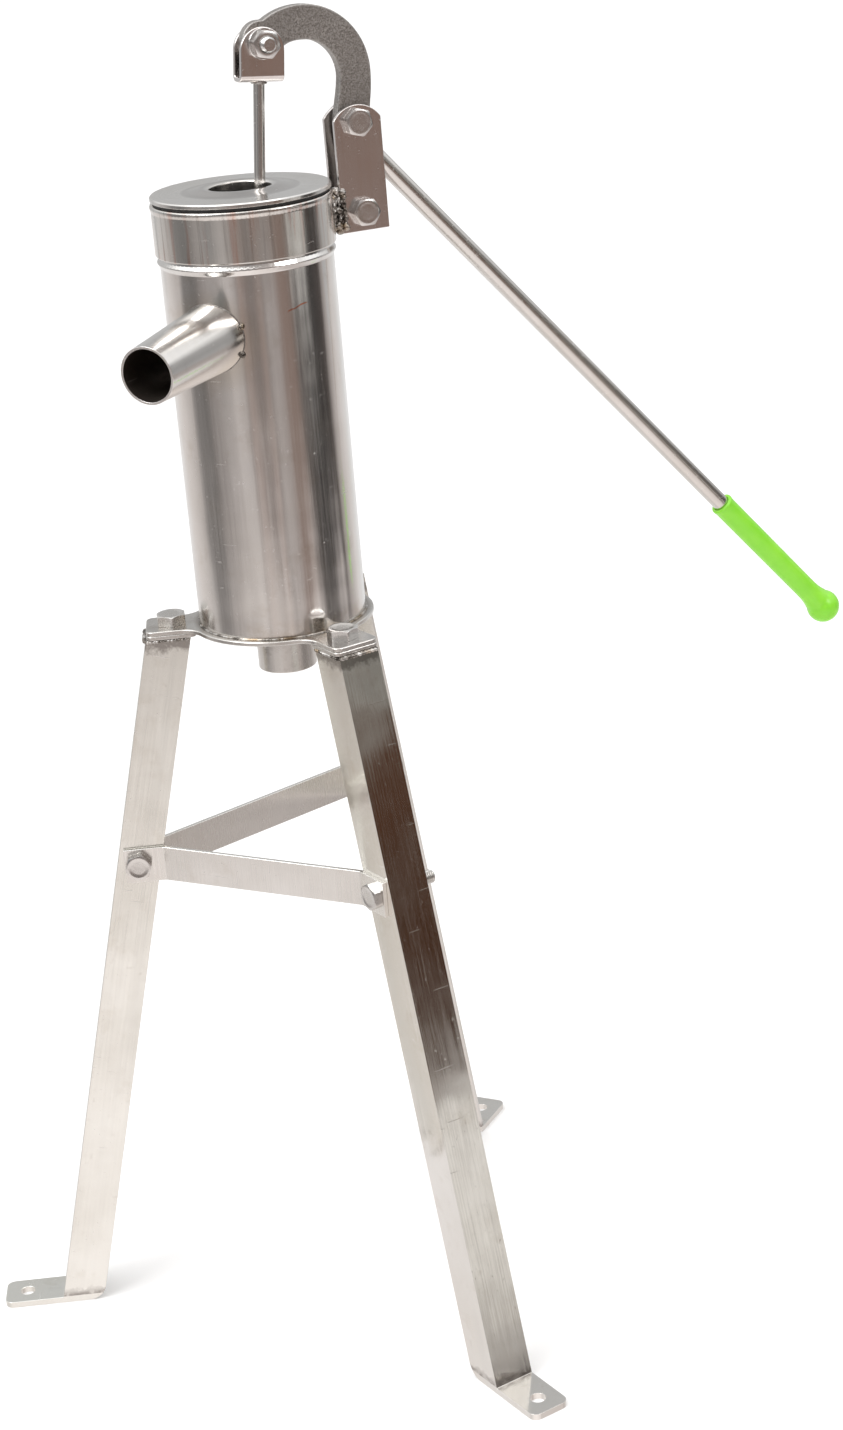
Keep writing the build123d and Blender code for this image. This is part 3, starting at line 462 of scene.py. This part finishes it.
def zinc():
    M = Mat("zinc_grey_arm")
    b = M.b
    b.inputs["Metallic"].default_value = 0.85
    gr = M.noise(900, 4, 0.75)
    sp = M.voronoi(520)
    cl = M.noise(30, 4, 0.6)
    c = M.mix(M.rng(gr, 0.35, 0.68), (0.15, 0.138, 0.128), (0.56, 0.53, 0.50))
    c = M.mix(M.math("MULTIPLY", M.rng(cl, 0.35, 0.7), 0.45), c, (0.22, 0.205, 0.19))
    c = M.mix(M.math("MULTIPLY", M.rng(sp, 0.0, 0.45, 1.0, 0.0), 0.25), c, (0.66, 0.66, 0.67))
    # edges brightened towards pale grey: partly wear on the zinc, partly a painted highlight
    c = M.mix(M.math("MULTIPLY", M.edge(0.0014), 0.8), c, (0.74, 0.74, 0.74))
    M.l(c, b.inputs["Base Color"])
    M.l(M.rng(gr, 0.3, 0.7, 0.34, 0.52), b.inputs["Roughness"])
    n = M.bump(gr, 0.35, 0.0003)
    n = M.bump(cl, 0.3, 0.0008, n)
    M.l(n, b.inputs["Normal"])
    return M


MATS["zinc"] = zinc()


def weldm():
    M = Mat("weld_bead")
    b = M.b
    b.inputs["Metallic"].default_value = 1.0
    cl = M.noise(140, 4, 0.6)
    ht = M.noise(55, 3, 0.5)
    c = M.ramp(cl, [(0.30, (0.035, 0.03, 0.027)), (0.47, (0.22, 0.20, 0.18)), (0.56, (0.50, 0.48, 0.46)), (0.72, (0.85, 0.84, 0.82))])
    c = M.mix(M.rng(ht, 0.55, 0.72, 0, 0.6), c, (0.55, 0.40, 0.24))
    M.l(c, b.inputs["Base Color"])
    M.l(M.rng(cl, 0.3, 0.7, 0.18, 0.42), b.inputs["Roughness"])
    M.l(M.bump(cl, 0.5, 0.0006), b.inputs["Normal"])
    return M


MATS["weld"] = weldm()


def grip():
    M = Mat("green_plastic_grip")
    b = M.b
    cl = M.noise(40, 3, 0.5)
    fi = M.noise(900, 2, 0.5)
    c = M.mix(M.rng(cl, 0.35, 0.68), (0.238, 0.69, 0.038), (0.30, 0.75, 0.055))
    # painted highlight: the grip's turned edges are a lighter green, as if catching the light
    c = M.mix(M.math("MULTIPLY", M.edge(0.0014), 0.35), c, (0.42, 0.86, 0.14))
    M.l(c, b.inputs["Base Color"])
    M.l(M.rng(fi, 0.3, 0.7, 0.20, 0.27), b.inputs["Roughness"])
    b.inputs["Subsurface Weight"].default_value = 0.06
    b.inputs["Subsurface Radius"].default_value = (0.3, 0.8, 0.1)
    b.inputs["Subsurface Scale"].default_value = 0.003
    n = M.bump(cl, 0.12, 0.0008)
    M.l(M.bump(fi, 0.03, 0.0002, n), b.inputs["Normal"])
    return M


MATS["grip"] = grip()


def dull(name, a, bb, rough, scale, metallic=0.0, bump=0.3):
    M = Mat(name)
    nz = M.noise(scale, 4, 0.6)
    M.b.inputs["Metallic"].default_value = metallic
    M.l(M.mix(M.rng(nz, 0.35, 0.68), a, bb), M.b.inputs["Base Color"])
    M.l(M.rng(nz, 0.3, 0.7, rough - 0.08, rough + 0.08), M.b.inputs["Roughness"])
    M.l(M.bump(nz, bump, 0.0004), M.b.inputs["Normal"])
    return M


MATS["rubber"] = dull("black_rubber", (0.012, 0.012, 0.012), (0.03, 0.03, 0.03), 0.6, 180)
MATS["leather"] = dull("oiled_leather", (0.10, 0.045, 0.02), (0.17, 0.085, 0.04), 0.5, 220)
MATS["thread"] = dull("thread_steel", (0.16, 0.14, 0.13), (0.40, 0.38, 0.36), 0.36, 400, 1.0, 0.2)


SLOT = {"barrel": "stainless_polished", "collar": "stainless_polished", "lid": "stainless_polished", "spout": "stainless_polished",
        "leg_l": "stainless_satin", "leg_r": "stainless_satin", "leg_b": "stainless_satin", "strap": "stainless_satin",
        "flange": "stainless_satin", "bracket": "stainless_bracket", "zinc": "zinc_grey", "fastener": "fastener_steel",
        "rod": "bright_rod", "grip": "green_plastic", "rubber": "black_rubber", "leather": "oiled_leather", "brass": "brass"}


# =====================================================================================
# mesh helpers
# =====================================================================================
def finish_mesh(me, angle=32):
    me.shade_smooth()
    me.set_sharp_from_angle(angle=radians(angle))


def piece(name, verts, faces, mat, body, rep=(), slot=None, angle=32):
    me = bpy.data.meshes.new(name)
    me.from_pydata([tuple(v) for v in verts], [], faces)
    me.validate()
    bm = bmesh.new()
    bm.from_mesh(me)
    bmesh.ops.recalc_face_normals(bm, faces=bm.faces)
    bm.to_mesh(me)
    bm.free()
    finish_mesh(me, angle)
    me.materials.append(MATS[mat].m)
    o = bpy.data.objects.new(name, me)
    COL.objects.link(o)
    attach(o, body)
    if rep:
        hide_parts(*rep)
    slot = slot or SLOT.get(mat)
    return o


def dress(node, mat, bevel=0.0004, seg=2, angle=30, smooth=35):
    # the CAD solid with welded vertices, merged flats and softened edges
    src = NODES[node]
    me = src.data.copy()
    me.name = node + "_skin"
    bm = bmesh.new()
    bm.from_mesh(me)
    bmesh.ops.remove_doubles(bm, verts=bm.verts, dist=2e-6)
    bmesh.ops.dissolve_limit(bm, angle_limit=radians(0.4), verts=bm.verts, edges=bm.edges)
    bmesh.ops.recalc_face_normals(bm, faces=bm.faces)
    bm.to_mesh(me)
    bm.free()
    me.attributes.remove(me.attributes["custom_normal"]) if "custom_normal" in me.attributes else None
    me.materials.clear()
    me.materials.append(MATS[mat].m)
    finish_mesh(me, smooth)
    o = bpy.data.objects.new(node + "_skin", me)
    COL.objects.link(o)
    if bevel:
        bv = o.modifiers.new("soft_edges", "BEVEL")
        bv.width = bevel
        bv.segments = seg
        bv.limit_method = "ANGLE"
        bv.angle_limit = radians(angle)
        bv.miter_outer = "MITER_ARC"
    wn = o.modifiers.new("even_shading", "WEIGHTED_NORMAL")
    wn.mode = "FACE_AREA"
    wn.weight = 100
    wn.keep_sharp = True
    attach(o, src["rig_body"])
    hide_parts(node)
    return o


LOOK = {
    "barrel": ("barrel", 0.0006), "collar": ("collar", 0.0004), "lid": ("lid", 0.0004), "spout": ("spout", 0.0004),
    "inlet_stub": ("flange", 0.0004), "base_flange": ("flange", 0.0006), "leg_top_tabs": ("flange", 0.0006),
    "stand_head_plate": ("flange", 0.0006),
    "leg_front_left": ("leg_l", 0.0009), "leg_front_right": ("leg_r", 0.0009), "leg_rear": ("leg_b", 0.0009),
    "brace_front": ("strap", 0.0006), "brace_left": ("strap", 0.0006), "brace_right": ("strap", 0.0006),
    "bracket_plate_near": ("bracket", 0.0006), "bracket_plate_far": ("bracket", 0.0006), "bracket_web": ("bracket", 0.0005),
    "clevis": ("bracket", 0.0006), "gooseneck_arm": ("zinc", 0.0008), "hand_grip": ("grip", 0.0004),
    "handle_rod": ("rod", 0.0004), "pump_rod": ("rod", 0.0004), "rod_foot_eye": ("rod", 0.0004), "rod_foot_pin": ("rod", 0.0004),
    "lid_seal": ("rubber", 0.0003), "foot_valve_disc": ("rubber", 0.0004), "piston_valve_disc": ("brass", 0.0003),
    "piston_cup_leather": ("leather", 0.0005), "foot_valve_seat": ("brass", 0.0004),
}
MADE = set()                 # CAD nodes that a finer piece stands for


# ---------------------------------------------------------------- rings, threads, hexagons
def basis(axis, xdir=None):
    z = Vector(axis).normalized()
    x = Vector(xdir) if xdir is not None else (EZ if abs(z.z) < 0.9 else Vector((1, 0, 0)))
    x = (x - z * x.dot(z)).normalized()
    return x, z.cross(x), z


class Rings:
    # builds a closed body from rings of points round one axis
    def __init__(self, origin, axis, xdir=None, n=48):
        self.o = Vector(origin)
        self.x, self.y, self.z = basis(axis, xdir)
        self.n = n
        self.v, self.f, self.last = [], [], None

    def pt(self, r, th, z):
        return self.o + (self.x * (r * cos(th)) + self.y * (r * sin(th)) + self.z * z) * MM

    def ring(self, r, z):
        # r and z are numbers or functions of the angle, in mm
        k = len(self.v)
        for i in range(self.n):
            th = 2 * pi * i / self.n
            rr = r(th) if callable(r) else r
            zz = z(th) if callable(z) else z
            self.v.append(self.pt(rr, th, zz))
        if self.last is not None:
            a = self.last
            for i in range(self.n):
                j = (i + 1) % self.n
                self.f.append((a + i, a + j, k + j, k + i))
        self.last = k
        return k

    def cap(self, start=None):
        k = self.last if start is None else start
        ids = list(range(k, k + self.n))
        c = sum((self.v[i] for i in ids), Vector()) / self.n
        self.v.append(c)
        m = len(self.v) - 1
        for i in range(self.n):
            self.f.append((ids[i], ids[(i + 1) % self.n], m))

    def join(self, first):
        a = self.last
        for i in range(self.n):
            j = (i + 1) % self.n
            self.f.append((a + i, a + j, first + j, first + i))


def merge(parts):
    v, f = [], []
    for p in parts:
        k = len(v)
        v += p.v
        f += [tuple(i + k for i in q) for q in p.f]
    return v, f


def hexr(af, spin=0.0, soft=0.25):
    def r(th):
        t = (degrees(th) - spin + 30) % 60 - 30
        full = (af / 2) / cos(radians(t))
        return min(full, af / 2 / cos(radians(30)) - soft)
    return r


def hex_bolt(o, axis, af, h, rad, length, thread, spin=0.0, pitch=1.5, xdir=None, dome=0.0):
    # head stands on o and rises along axis; shank runs the other way
    R = Rings(o, axis, xdir, 72)
    hr = hexr(af, spin)
    rc = af / 2 * 0.97
    top = lambda th: h - max(0.0, hr(th) - rc) * tan(radians(30))
    k = R.ring(rc * 0.55, h - 0.35 + dome)
    R.cap(k)
    R.ring(rc * 0.74, h - 0.28 + dome * 0.7)
    R.ring(rc * 0.82, h + dome * 0.4)
    R.ring(rc, h)
    R.ring(hr, top)
    R.ring(hr, 0.25)
    R.ring(lambda th: hr(th) - 0.25, 0.0)
    R.ring(rad, 0.0)
    R.ring(rad, -(length - thread))
    dz = pitch / 7
    z = length - thread
    d = pitch * 0.5
    while z < length - 1.2:
        z += dz
        R.ring(lambda th, z=z: rad - 0.08 - d * abs(((z / pitch - th / (2 * pi)) % 1.0) * 2 - 1) ** 1.3, -z)
    R.ring(rad - 1.15, -length)
    R.cap()
    return R


def hex_nut(o, axis, af, h, rad, spin=0.0, xdir=None):
    R = Rings(o, axis, xdir, 72)
    hr = hexr(af, spin)
    rc = af / 2 * 0.97
    cut = lambda th: max(0.0, hr(th) - rc) * tan(radians(30))
    first = R.ring(rad, 0.5)
    R.ring(rad + 0.6, 0.0)
    R.ring(rc, 0.0)
    R.ring(hr, cut)
    R.ring(hr, lambda th: h - cut(th))
    R.ring(rc, h)
    R.ring(rad + 0.9, h)
    R.ring(rad, h - 0.6)
    R.join(first)
    return R


def washer(o, axis, ro, ri, t, xdir=None):
    R = Rings(o, axis, xdir, 72)
    e = 0.22
    first = R.ring(ri, e)
    for r, z in ((ri + e, 0), (ro - e, 0), (ro, e), (ro, t - e), (ro - e, t), (ri + e, t), (ri, t - e)):
        R.ring(r, z)
    R.join(first)
    return R


def lathe(o, axis, prof, n=128, xdir=None, closed=False):
    # prof: (radius, height) pairs in mm; closed profiles make a ring, open ones end on the axis
    R = Rings(o, axis, xdir, n)
    first = None
    for r, z in prof:
        k = R.ring(r, z)
        if first is None:
            first = k
    if closed:
        R.join(first)
    else:
        R.cap(first)
        R.cap()
    return R


def stand_for(name, parts, mat, nodes, slot=None, angle=32):
    if not isinstance(parts, (list, tuple)):
        parts = [parts]
    v, f = merge(parts)
    body = NODES[nodes[0]]["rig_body"]
    MADE.update(nodes)
    return piece(name, v, f, mat, body, nodes, slot, angle)


# ---------------------------------------------------------------- legs: where things are on them
LEGS = {"front_left": (210.0, 1), "front_right": (330.0, -1), "rear": (90.0, 1)}


def radial(az):
    return Vector((cos(radians(az)), sin(radians(az)), 0))


def tangent(az):
    return Vector((-sin(radians(az)), cos(radians(az)), 0))


def leg_point(az, x, y, z):
    # mm in, metres out; x across, y inwards from the outer face, at height z
    r, t = radial(az), tangent(az)
    ax = (EZ - r * 0.2343).normalized()
    base = r * 213.8 + t * x + ax.cross(t) * y
    return (base + ax * ((z - base.z) / ax.z)) * MM


BRACE_END = 46.0
bolts, nuts, wash = [], [], []
for az, m in LEGS.values():
    hp, d = leg_point(az, 0, 14.5, 346.0), tangent(az) * m
    at = lambda out: hp + d * (out * MM)
    spin = {210.0: 12, 330.0: 34, 90.0: 20}[az]
    bolts.append(hex_bolt(at(18.0), d, 17, 6.4, 5.0, BRACE_END - (8.0 if az == 90.0 else 0.0), 22.0, spin))
    nuts.append(hex_nut(at(-1.0), d, 17, 8.0, 4.9, spin + 8))
    wash.append(washer(at(7.0), d, 10, 5.2, 2.0))
stand_for("brace_hex_bolts", bolts, "fastener", ["brace_bolts"])
stand_for("brace_hex_nuts", nuts, "fastener", ["brace_nuts"])
stand_for("brace_flat_washers", wash, "fastener", ["brace_washers"])
bolts, nuts, wash = [], [], []
for az, m in LEGS.values():
    c = radial(az) * (76.5 * MM)
    spin = {210.0: 4, 330.0: 17, 90.0: 0}[az]
    bolts.append(hex_bolt(c + EZ * (514.4 * MM), EZ, 19, 7.5, 6.0, 26.0, 18.0, spin, 1.75, radial(az)))
    nuts.append(hex_nut(c + EZ * ((508.4 - 12.0) * MM), EZ, 19, 10.0, 5.9, spin + 11, radial(az)))
    wash.append(washer(c + EZ * ((508.4 - 2.0) * MM), EZ, 11, 6.3, 2.0))
stand_for("flange_hex_bolts", bolts, "fastener", ["flange_bolts"])
stand_for("flange_hex_nuts", nuts, "fastener", ["flange_nuts"])
stand_for("flange_flat_washers", wash, "fastener", ["flange_washers"])

# ---------------------------------------------------------------- lever bracket fasteners
PIV, LOW = (81.1, 838.5), (81.3, 779.8)
stand_for("pivot_hex_bolt", hex_bolt(lev(*PIV, 10.0), EN, 17, 6.4, 5.0, 35.0, 16.0, 14, xdir=ER, dome=0.5), "fastener", ["pivot_bolt"])
stand_for("clamp_hex_bolt", hex_bolt(lev(*LOW, 10.0), EN, 17, 6.4, 5.0, 35.0, 16.0, 28, xdir=ER, dome=0.5), "fastener", ["clamp_bolt"])
stand_for("bracket_hex_nuts", [hex_nut(lev(*p, -20.0), EN, 17, 8.0, 4.9, 10 + 9 * k, ER) for k, p in enumerate((PIV, LOW))],
          "fastener", ["bracket_nuts"])
stand_for("bracket_flat_washers", [washer(lev(*p, -12.0), EN, 10, 5.0, 2.0) for p in (PIV, LOW)], "fastener",
          ["bracket_washers"])

# ---------------------------------------------------------------- clevis pin
LX, LY = sin(radians(5.49)), cos(radians(5.49))
RU = ER * LX + EZ * LY
RX = ER * LY - EZ * LX
PINW = lev(22.4, 895.2)
stand_for("clevis_hex_bolt", hex_bolt(PINW - EN * (7.4 * MM), -EN, 17, 6.4, 5.0, 27.5, 14.0, 8, xdir=RX, dome=0.4), "fastener",
          ["clevis_bolt"])
stand_for("clevis_flat_washer", washer(PINW + EN * (7.4 * MM), EN, 10, 5.0, 1.6), "fastener", ["clevis_washer"])
stand_for("clevis_hex_nut", hex_nut(PINW + EN * (9.0 * MM), EN, 17, 7.0, 4.9, 22, RX), "fastener", ["clevis_nut"])

# ---------------------------------------------------------------- grip, rods
HPn, HQn = Vector((105.1, 803.8)), Vector((430.0, 430.7))
HD = (HQn - HPn).normalized()
HL = (HQn - HPn).length
HAX = (ER * HD.x + EZ * HD.y)
S0 = (Vector(PIV) - HPn).dot(HD) + 19.0


def on_h(s):
    p = HPn + HD * s
    return lev(p.x, p.y)


B = 12.2
prof = [(6.0, 120.0), (6.0, 0.6), (6.5, 0.0), (7.6, 0.0), (8.3, 0.35), (8.55, 1.0), (8.55, 2.0), (8.25, 2.8), (8.2, 6.0)]
prof += [(8.2 - 0.15 * i / 9, 6.0 + 92.0 * i / 9) for i in range(1, 10)]
prof += [(8.05, 103), (8.1, 107), (8.25, 110.5), (8.6, 113.6), (9.1, 116.2), (9.75, 118.6)]
prof += [(B * cos(radians(a)), 127.5 + B * sin(radians(a))) for a in range(-36, 90, 6)]
prof += [(0.25, 127.5 + B)]
GR = lathe(on_h(HL - 127.5), HAX, prof, 96)
stand_for("hand_grip_moulded", GR, "grip", ["hand_grip"], angle=50)
stand_for("handle_bar", lathe(on_h(S0), HAX, [(5.4, 0), (6.0, 0.6)] + [(6.0, z) for z in range(20, 360, 20)]
                              + [(6.0, HL - 8.0 - S0 - 0.6), (5.4, HL - 8.0 - S0)], 64), "rod", ["handle_rod"], angle=40)
ROD = PINW - RU * ((22.4 / LX) * MM)
top_rod = 22.4 / LX - 24.5
stand_for("pump_rod_bar", lathe(ROD, RU, [(3.3, 5.4), (3.75, 5.9), (3.75, 60), (3.75, 120), (3.75, 180), (3.75, top_rod)], 48, xdir=RX),
          "rod", ["pump_rod"], angle=40)


# ---------------------------------------------------------------- weld beads
def bead(pts, r, wave=2.2, n=14, seed=0.0, flat=0.75, normal=None, taper=True, amp=0.28, wander=0.25):
    # a rippled run of weld along points in metres, radius in mm
    P = [Vector(p) for p in pts]
    seg = [(b - a).length for a, b in zip(P, P[1:])]
    L = sum(seg)
    step = wave * MM / 7
    k = max(8, int(L / step))
    v, fc = [], []
    up = Vector(normal) if normal is not None else EZ
    for i in range(k + 1):
        s = L * i / k
        j, a = 0, s
        while j < len(seg) - 1 and a > seg[j]:
            a -= seg[j]
            j += 1
        c = P[j].lerp(P[j + 1], a / seg[j])
        d = (P[j + 1] - P[j]).normalized()
        x = (up - d * up.dot(d)).normalized()
        y = d.cross(x)
        nz = noise.noise(c * 260 + Vector((seed, 0, 0)))
        ph = s / MM / wave + 0.35 * nz
        rr = r * (1 + amp * (abs(sin(pi * ph)) - 0.6) + 0.22 * nz)
        if taper:
            e = min(s, L - s) / (r * MM)
            rr *= sqrt(max(0.02, 1 - max(0.0, 1 - e) ** 2))
        c = c + y * (wander * r * MM * noise.noise(c * 180 + Vector((0, seed, 4))))
        for q in range(n):
            th = 2 * pi * q / n
            # each ripple leans along the run
            lean = d * (0.35 * r * MM * cos(th) ** 2 * (1 if cos(th) > 0 else 0))
            v.append(c + (x * cos(th) * flat + y * sin(th)) * (rr * MM) + lean)
    for i in range(k):
        for q in range(n):
            w = (q + 1) % n
            fc.append((i * n + q, i * n + w, (i + 1) * n + w, (i + 1) * n + q))
    fc.append(tuple(range(n - 1, -1, -1)))
    fc.append(tuple(k * n + q for q in range(n)))
    class O:
        pass
    o = O()
    o.v, o.f = v, fc
    return o


def blob(c, r, seed=0.0, squash=(1, 1, 0.7), rough=0.25):
    bm = bmesh.new()
    bmesh.ops.create_icosphere(bm, subdivisions=3, radius=1.0)
    class O:
        pass
    o = O()
    o.v = []
    for vv in bm.verts:
        p = vv.co.copy()
        k = 1 + rough * noise.noise(p * 1.6 + Vector((seed, seed, 0)))
        o.v.append(Vector(c) + Vector((p.x * squash[0], p.y * squash[1], p.z * squash[2])) * (r * MM * k))
    o.f = [tuple(x.index for x in ff.verts) for ff in bm.faces]
    bm.free()
    return o


def weld(name, parts, body="pump_body", mat="weld"):
    v, fc = merge(parts)
    return piece(name, v, fc, mat, body, angle=60)


runs = []
for i, (az, m) in enumerate(LEGS.values()):
    z = 507.3
    runs.append(bead([leg_point(az, -m * 14.5, -0.5, z), leg_point(az, 0, -0.6, z), leg_point(az, m * 15.3, -0.5, z)], 1.7, 2.6,
                     seed=i * 7.1, amp=0.35))
    runs.append(bead([leg_point(az, m * 15.4, 0.0, z), leg_point(az, m * 15.4, 14, z), leg_point(az, m * 15.4, 29.0, z)], 1.7, 2.4,
                     seed=3 + i * 5.7, amp=0.35))
weld("weld_leg_tops", runs)
weld("weld_barrel_foot", [bead([Vector((cos(a), sin(a), 0)) * (57.45 * MM) + EZ * (514.5 * MM) for a in
                                [2 * pi * i / 96 for i in range(97)]], 0.85, 2.0, 10, taper=False, amp=0.12, wander=0.05)])
weld("weld_stub", [bead([Vector((cos(a), sin(a), 0)) * (20.3 * MM) + EZ * (507.9 * MM) for a in
                         [2 * pi * i / 64 for i in range(65)]], 0.9, 2.0, 10, taper=False, amp=0.2, wander=0.05)])
runs = []
for side in (1, -1):
    runs.append(bead([lev(60.2, 769.5, side * 9.6), lev(60.3, 780, side * 9.9), lev(60.2, 794, side * 9.5)], 2.3, 4.6, 18, seed=2.0 * side,
                     amp=0.45, wander=0.5))
    runs.append(bead([lev(64.6, 770.5, side * 8.6), lev(64.9, 783, side * 8.8), lev(64.4, 795, side * 8.4)], 2.1, 4.2, 18, seed=5 + side,
                     amp=0.5, wander=0.6))
runs.append(bead([lev(60.0, 795.6, -8), lev(60.4, 796.2, 0), lev(60.0, 795.6, 8)], 1.9, 3.4, 14, seed=9.0, amp=0.4))
runs.append(bead([lev(67.0, 769.5, 10.6), lev(67.6, 778, 10.8), lev(66.6, 787, 10.6), lev(67.2, 794.5, 10.4)], 2.3, 4.8, 18, seed=12.0, amp=0.5, wander=0.9))
runs.append(bead([lev(58.8, 771, 11.6), lev(59.2, 782, 12.4), lev(58.9, 793, 11.6)], 1.9, 4.4, 16, seed=15.0, amp=0.45, wander=0.7))
for k, (rr, zz, off, q) in enumerate(((62.5, 795.8, 9.8, 3.0), (66.5, 794.5, 10.8, 2.6), (63.0, 783.0, 10.6, 3.1), (62.2, 773.0, 10.4, 3.3), (67.5, 771.6, 10.9, 2.7), (63.5, 768.9, 9.2, 2.6),
                                      (61.0, 789.0, 10.9, 2.0))):
    runs.append(blob(lev(rr, zz, off), q, k * 3.3, (1, 1, 0.9)))
weld("weld_bracket", runs)
c = PINW - RU * (25.0 * MM)
weld("weld_rod_top", [bead([c + (RX * cos(a) + EN * sin(a)) * (4.1 * MM) for a in [2 * pi * i / 40 for i in range(41)]], 1.15, 2.2, 12,
                           normal=RU, taper=False, amp=0.3, wander=0.1)], "rod")
# seam where the spout meets the barrel, with two tacks
SD = Vector((0, -cos(radians(3.1)), -sin(radians(3.1))))
SX = Vector((1, 0, 0))
SY = SD.cross(SX)
SO = Vector((0, -40, 719.6))
SL = 97.0 / cos(radians(3.1))


def spout_hit(a):
    lo, hi = 0.0, SL
    for _ in range(40):
        t = (lo + hi) / 2
        r = 23.4 + (18.8 - 23.4) * t / SL
        p = SO + SD * t + (SX * cos(a) + SY * sin(a)) * r
        if hypot(p.x, p.y) < 57.3:
            lo = t
        else:
            hi = t
    return p


weld("weld_spout_seam", [bead([spout_hit(2 * pi * i / 120) * MM for i in range(121)], 0.55, 2.4, 10, taper=False, amp=0.3, wander=0.2)], mat="thread")
tk = []
for k, a in enumerate((20, -28)):
    p = spout_hit(radians(a))
    n = Vector((p.x, p.y, 0)).normalized()
    tk.append(blob((p + n * 0.3 + SX * 0.8) * MM, 1.9, k * 4.0, (1, 1, 1.1)))
weld("weld_spout_tacks", tk)

for n in sorted(NODES):
    if n in MADE:
        continue
    mat, bev = LOOK.get(n, ("fastener", 0.0004))
    o = dress(n, mat, bev)
    if n == "spout":
        # faces turned in towards the spout's axis get the bore material, whose dark tint is painted shade
        o.data.materials.append(MATS["bore"].m)
        for p in o.data.polygons:
            q = p.center / MM - SO
            q -= SD * q.dot(SD)
            if p.normal.dot(q) < -0.3 * q.length:
                p.material_index = 1
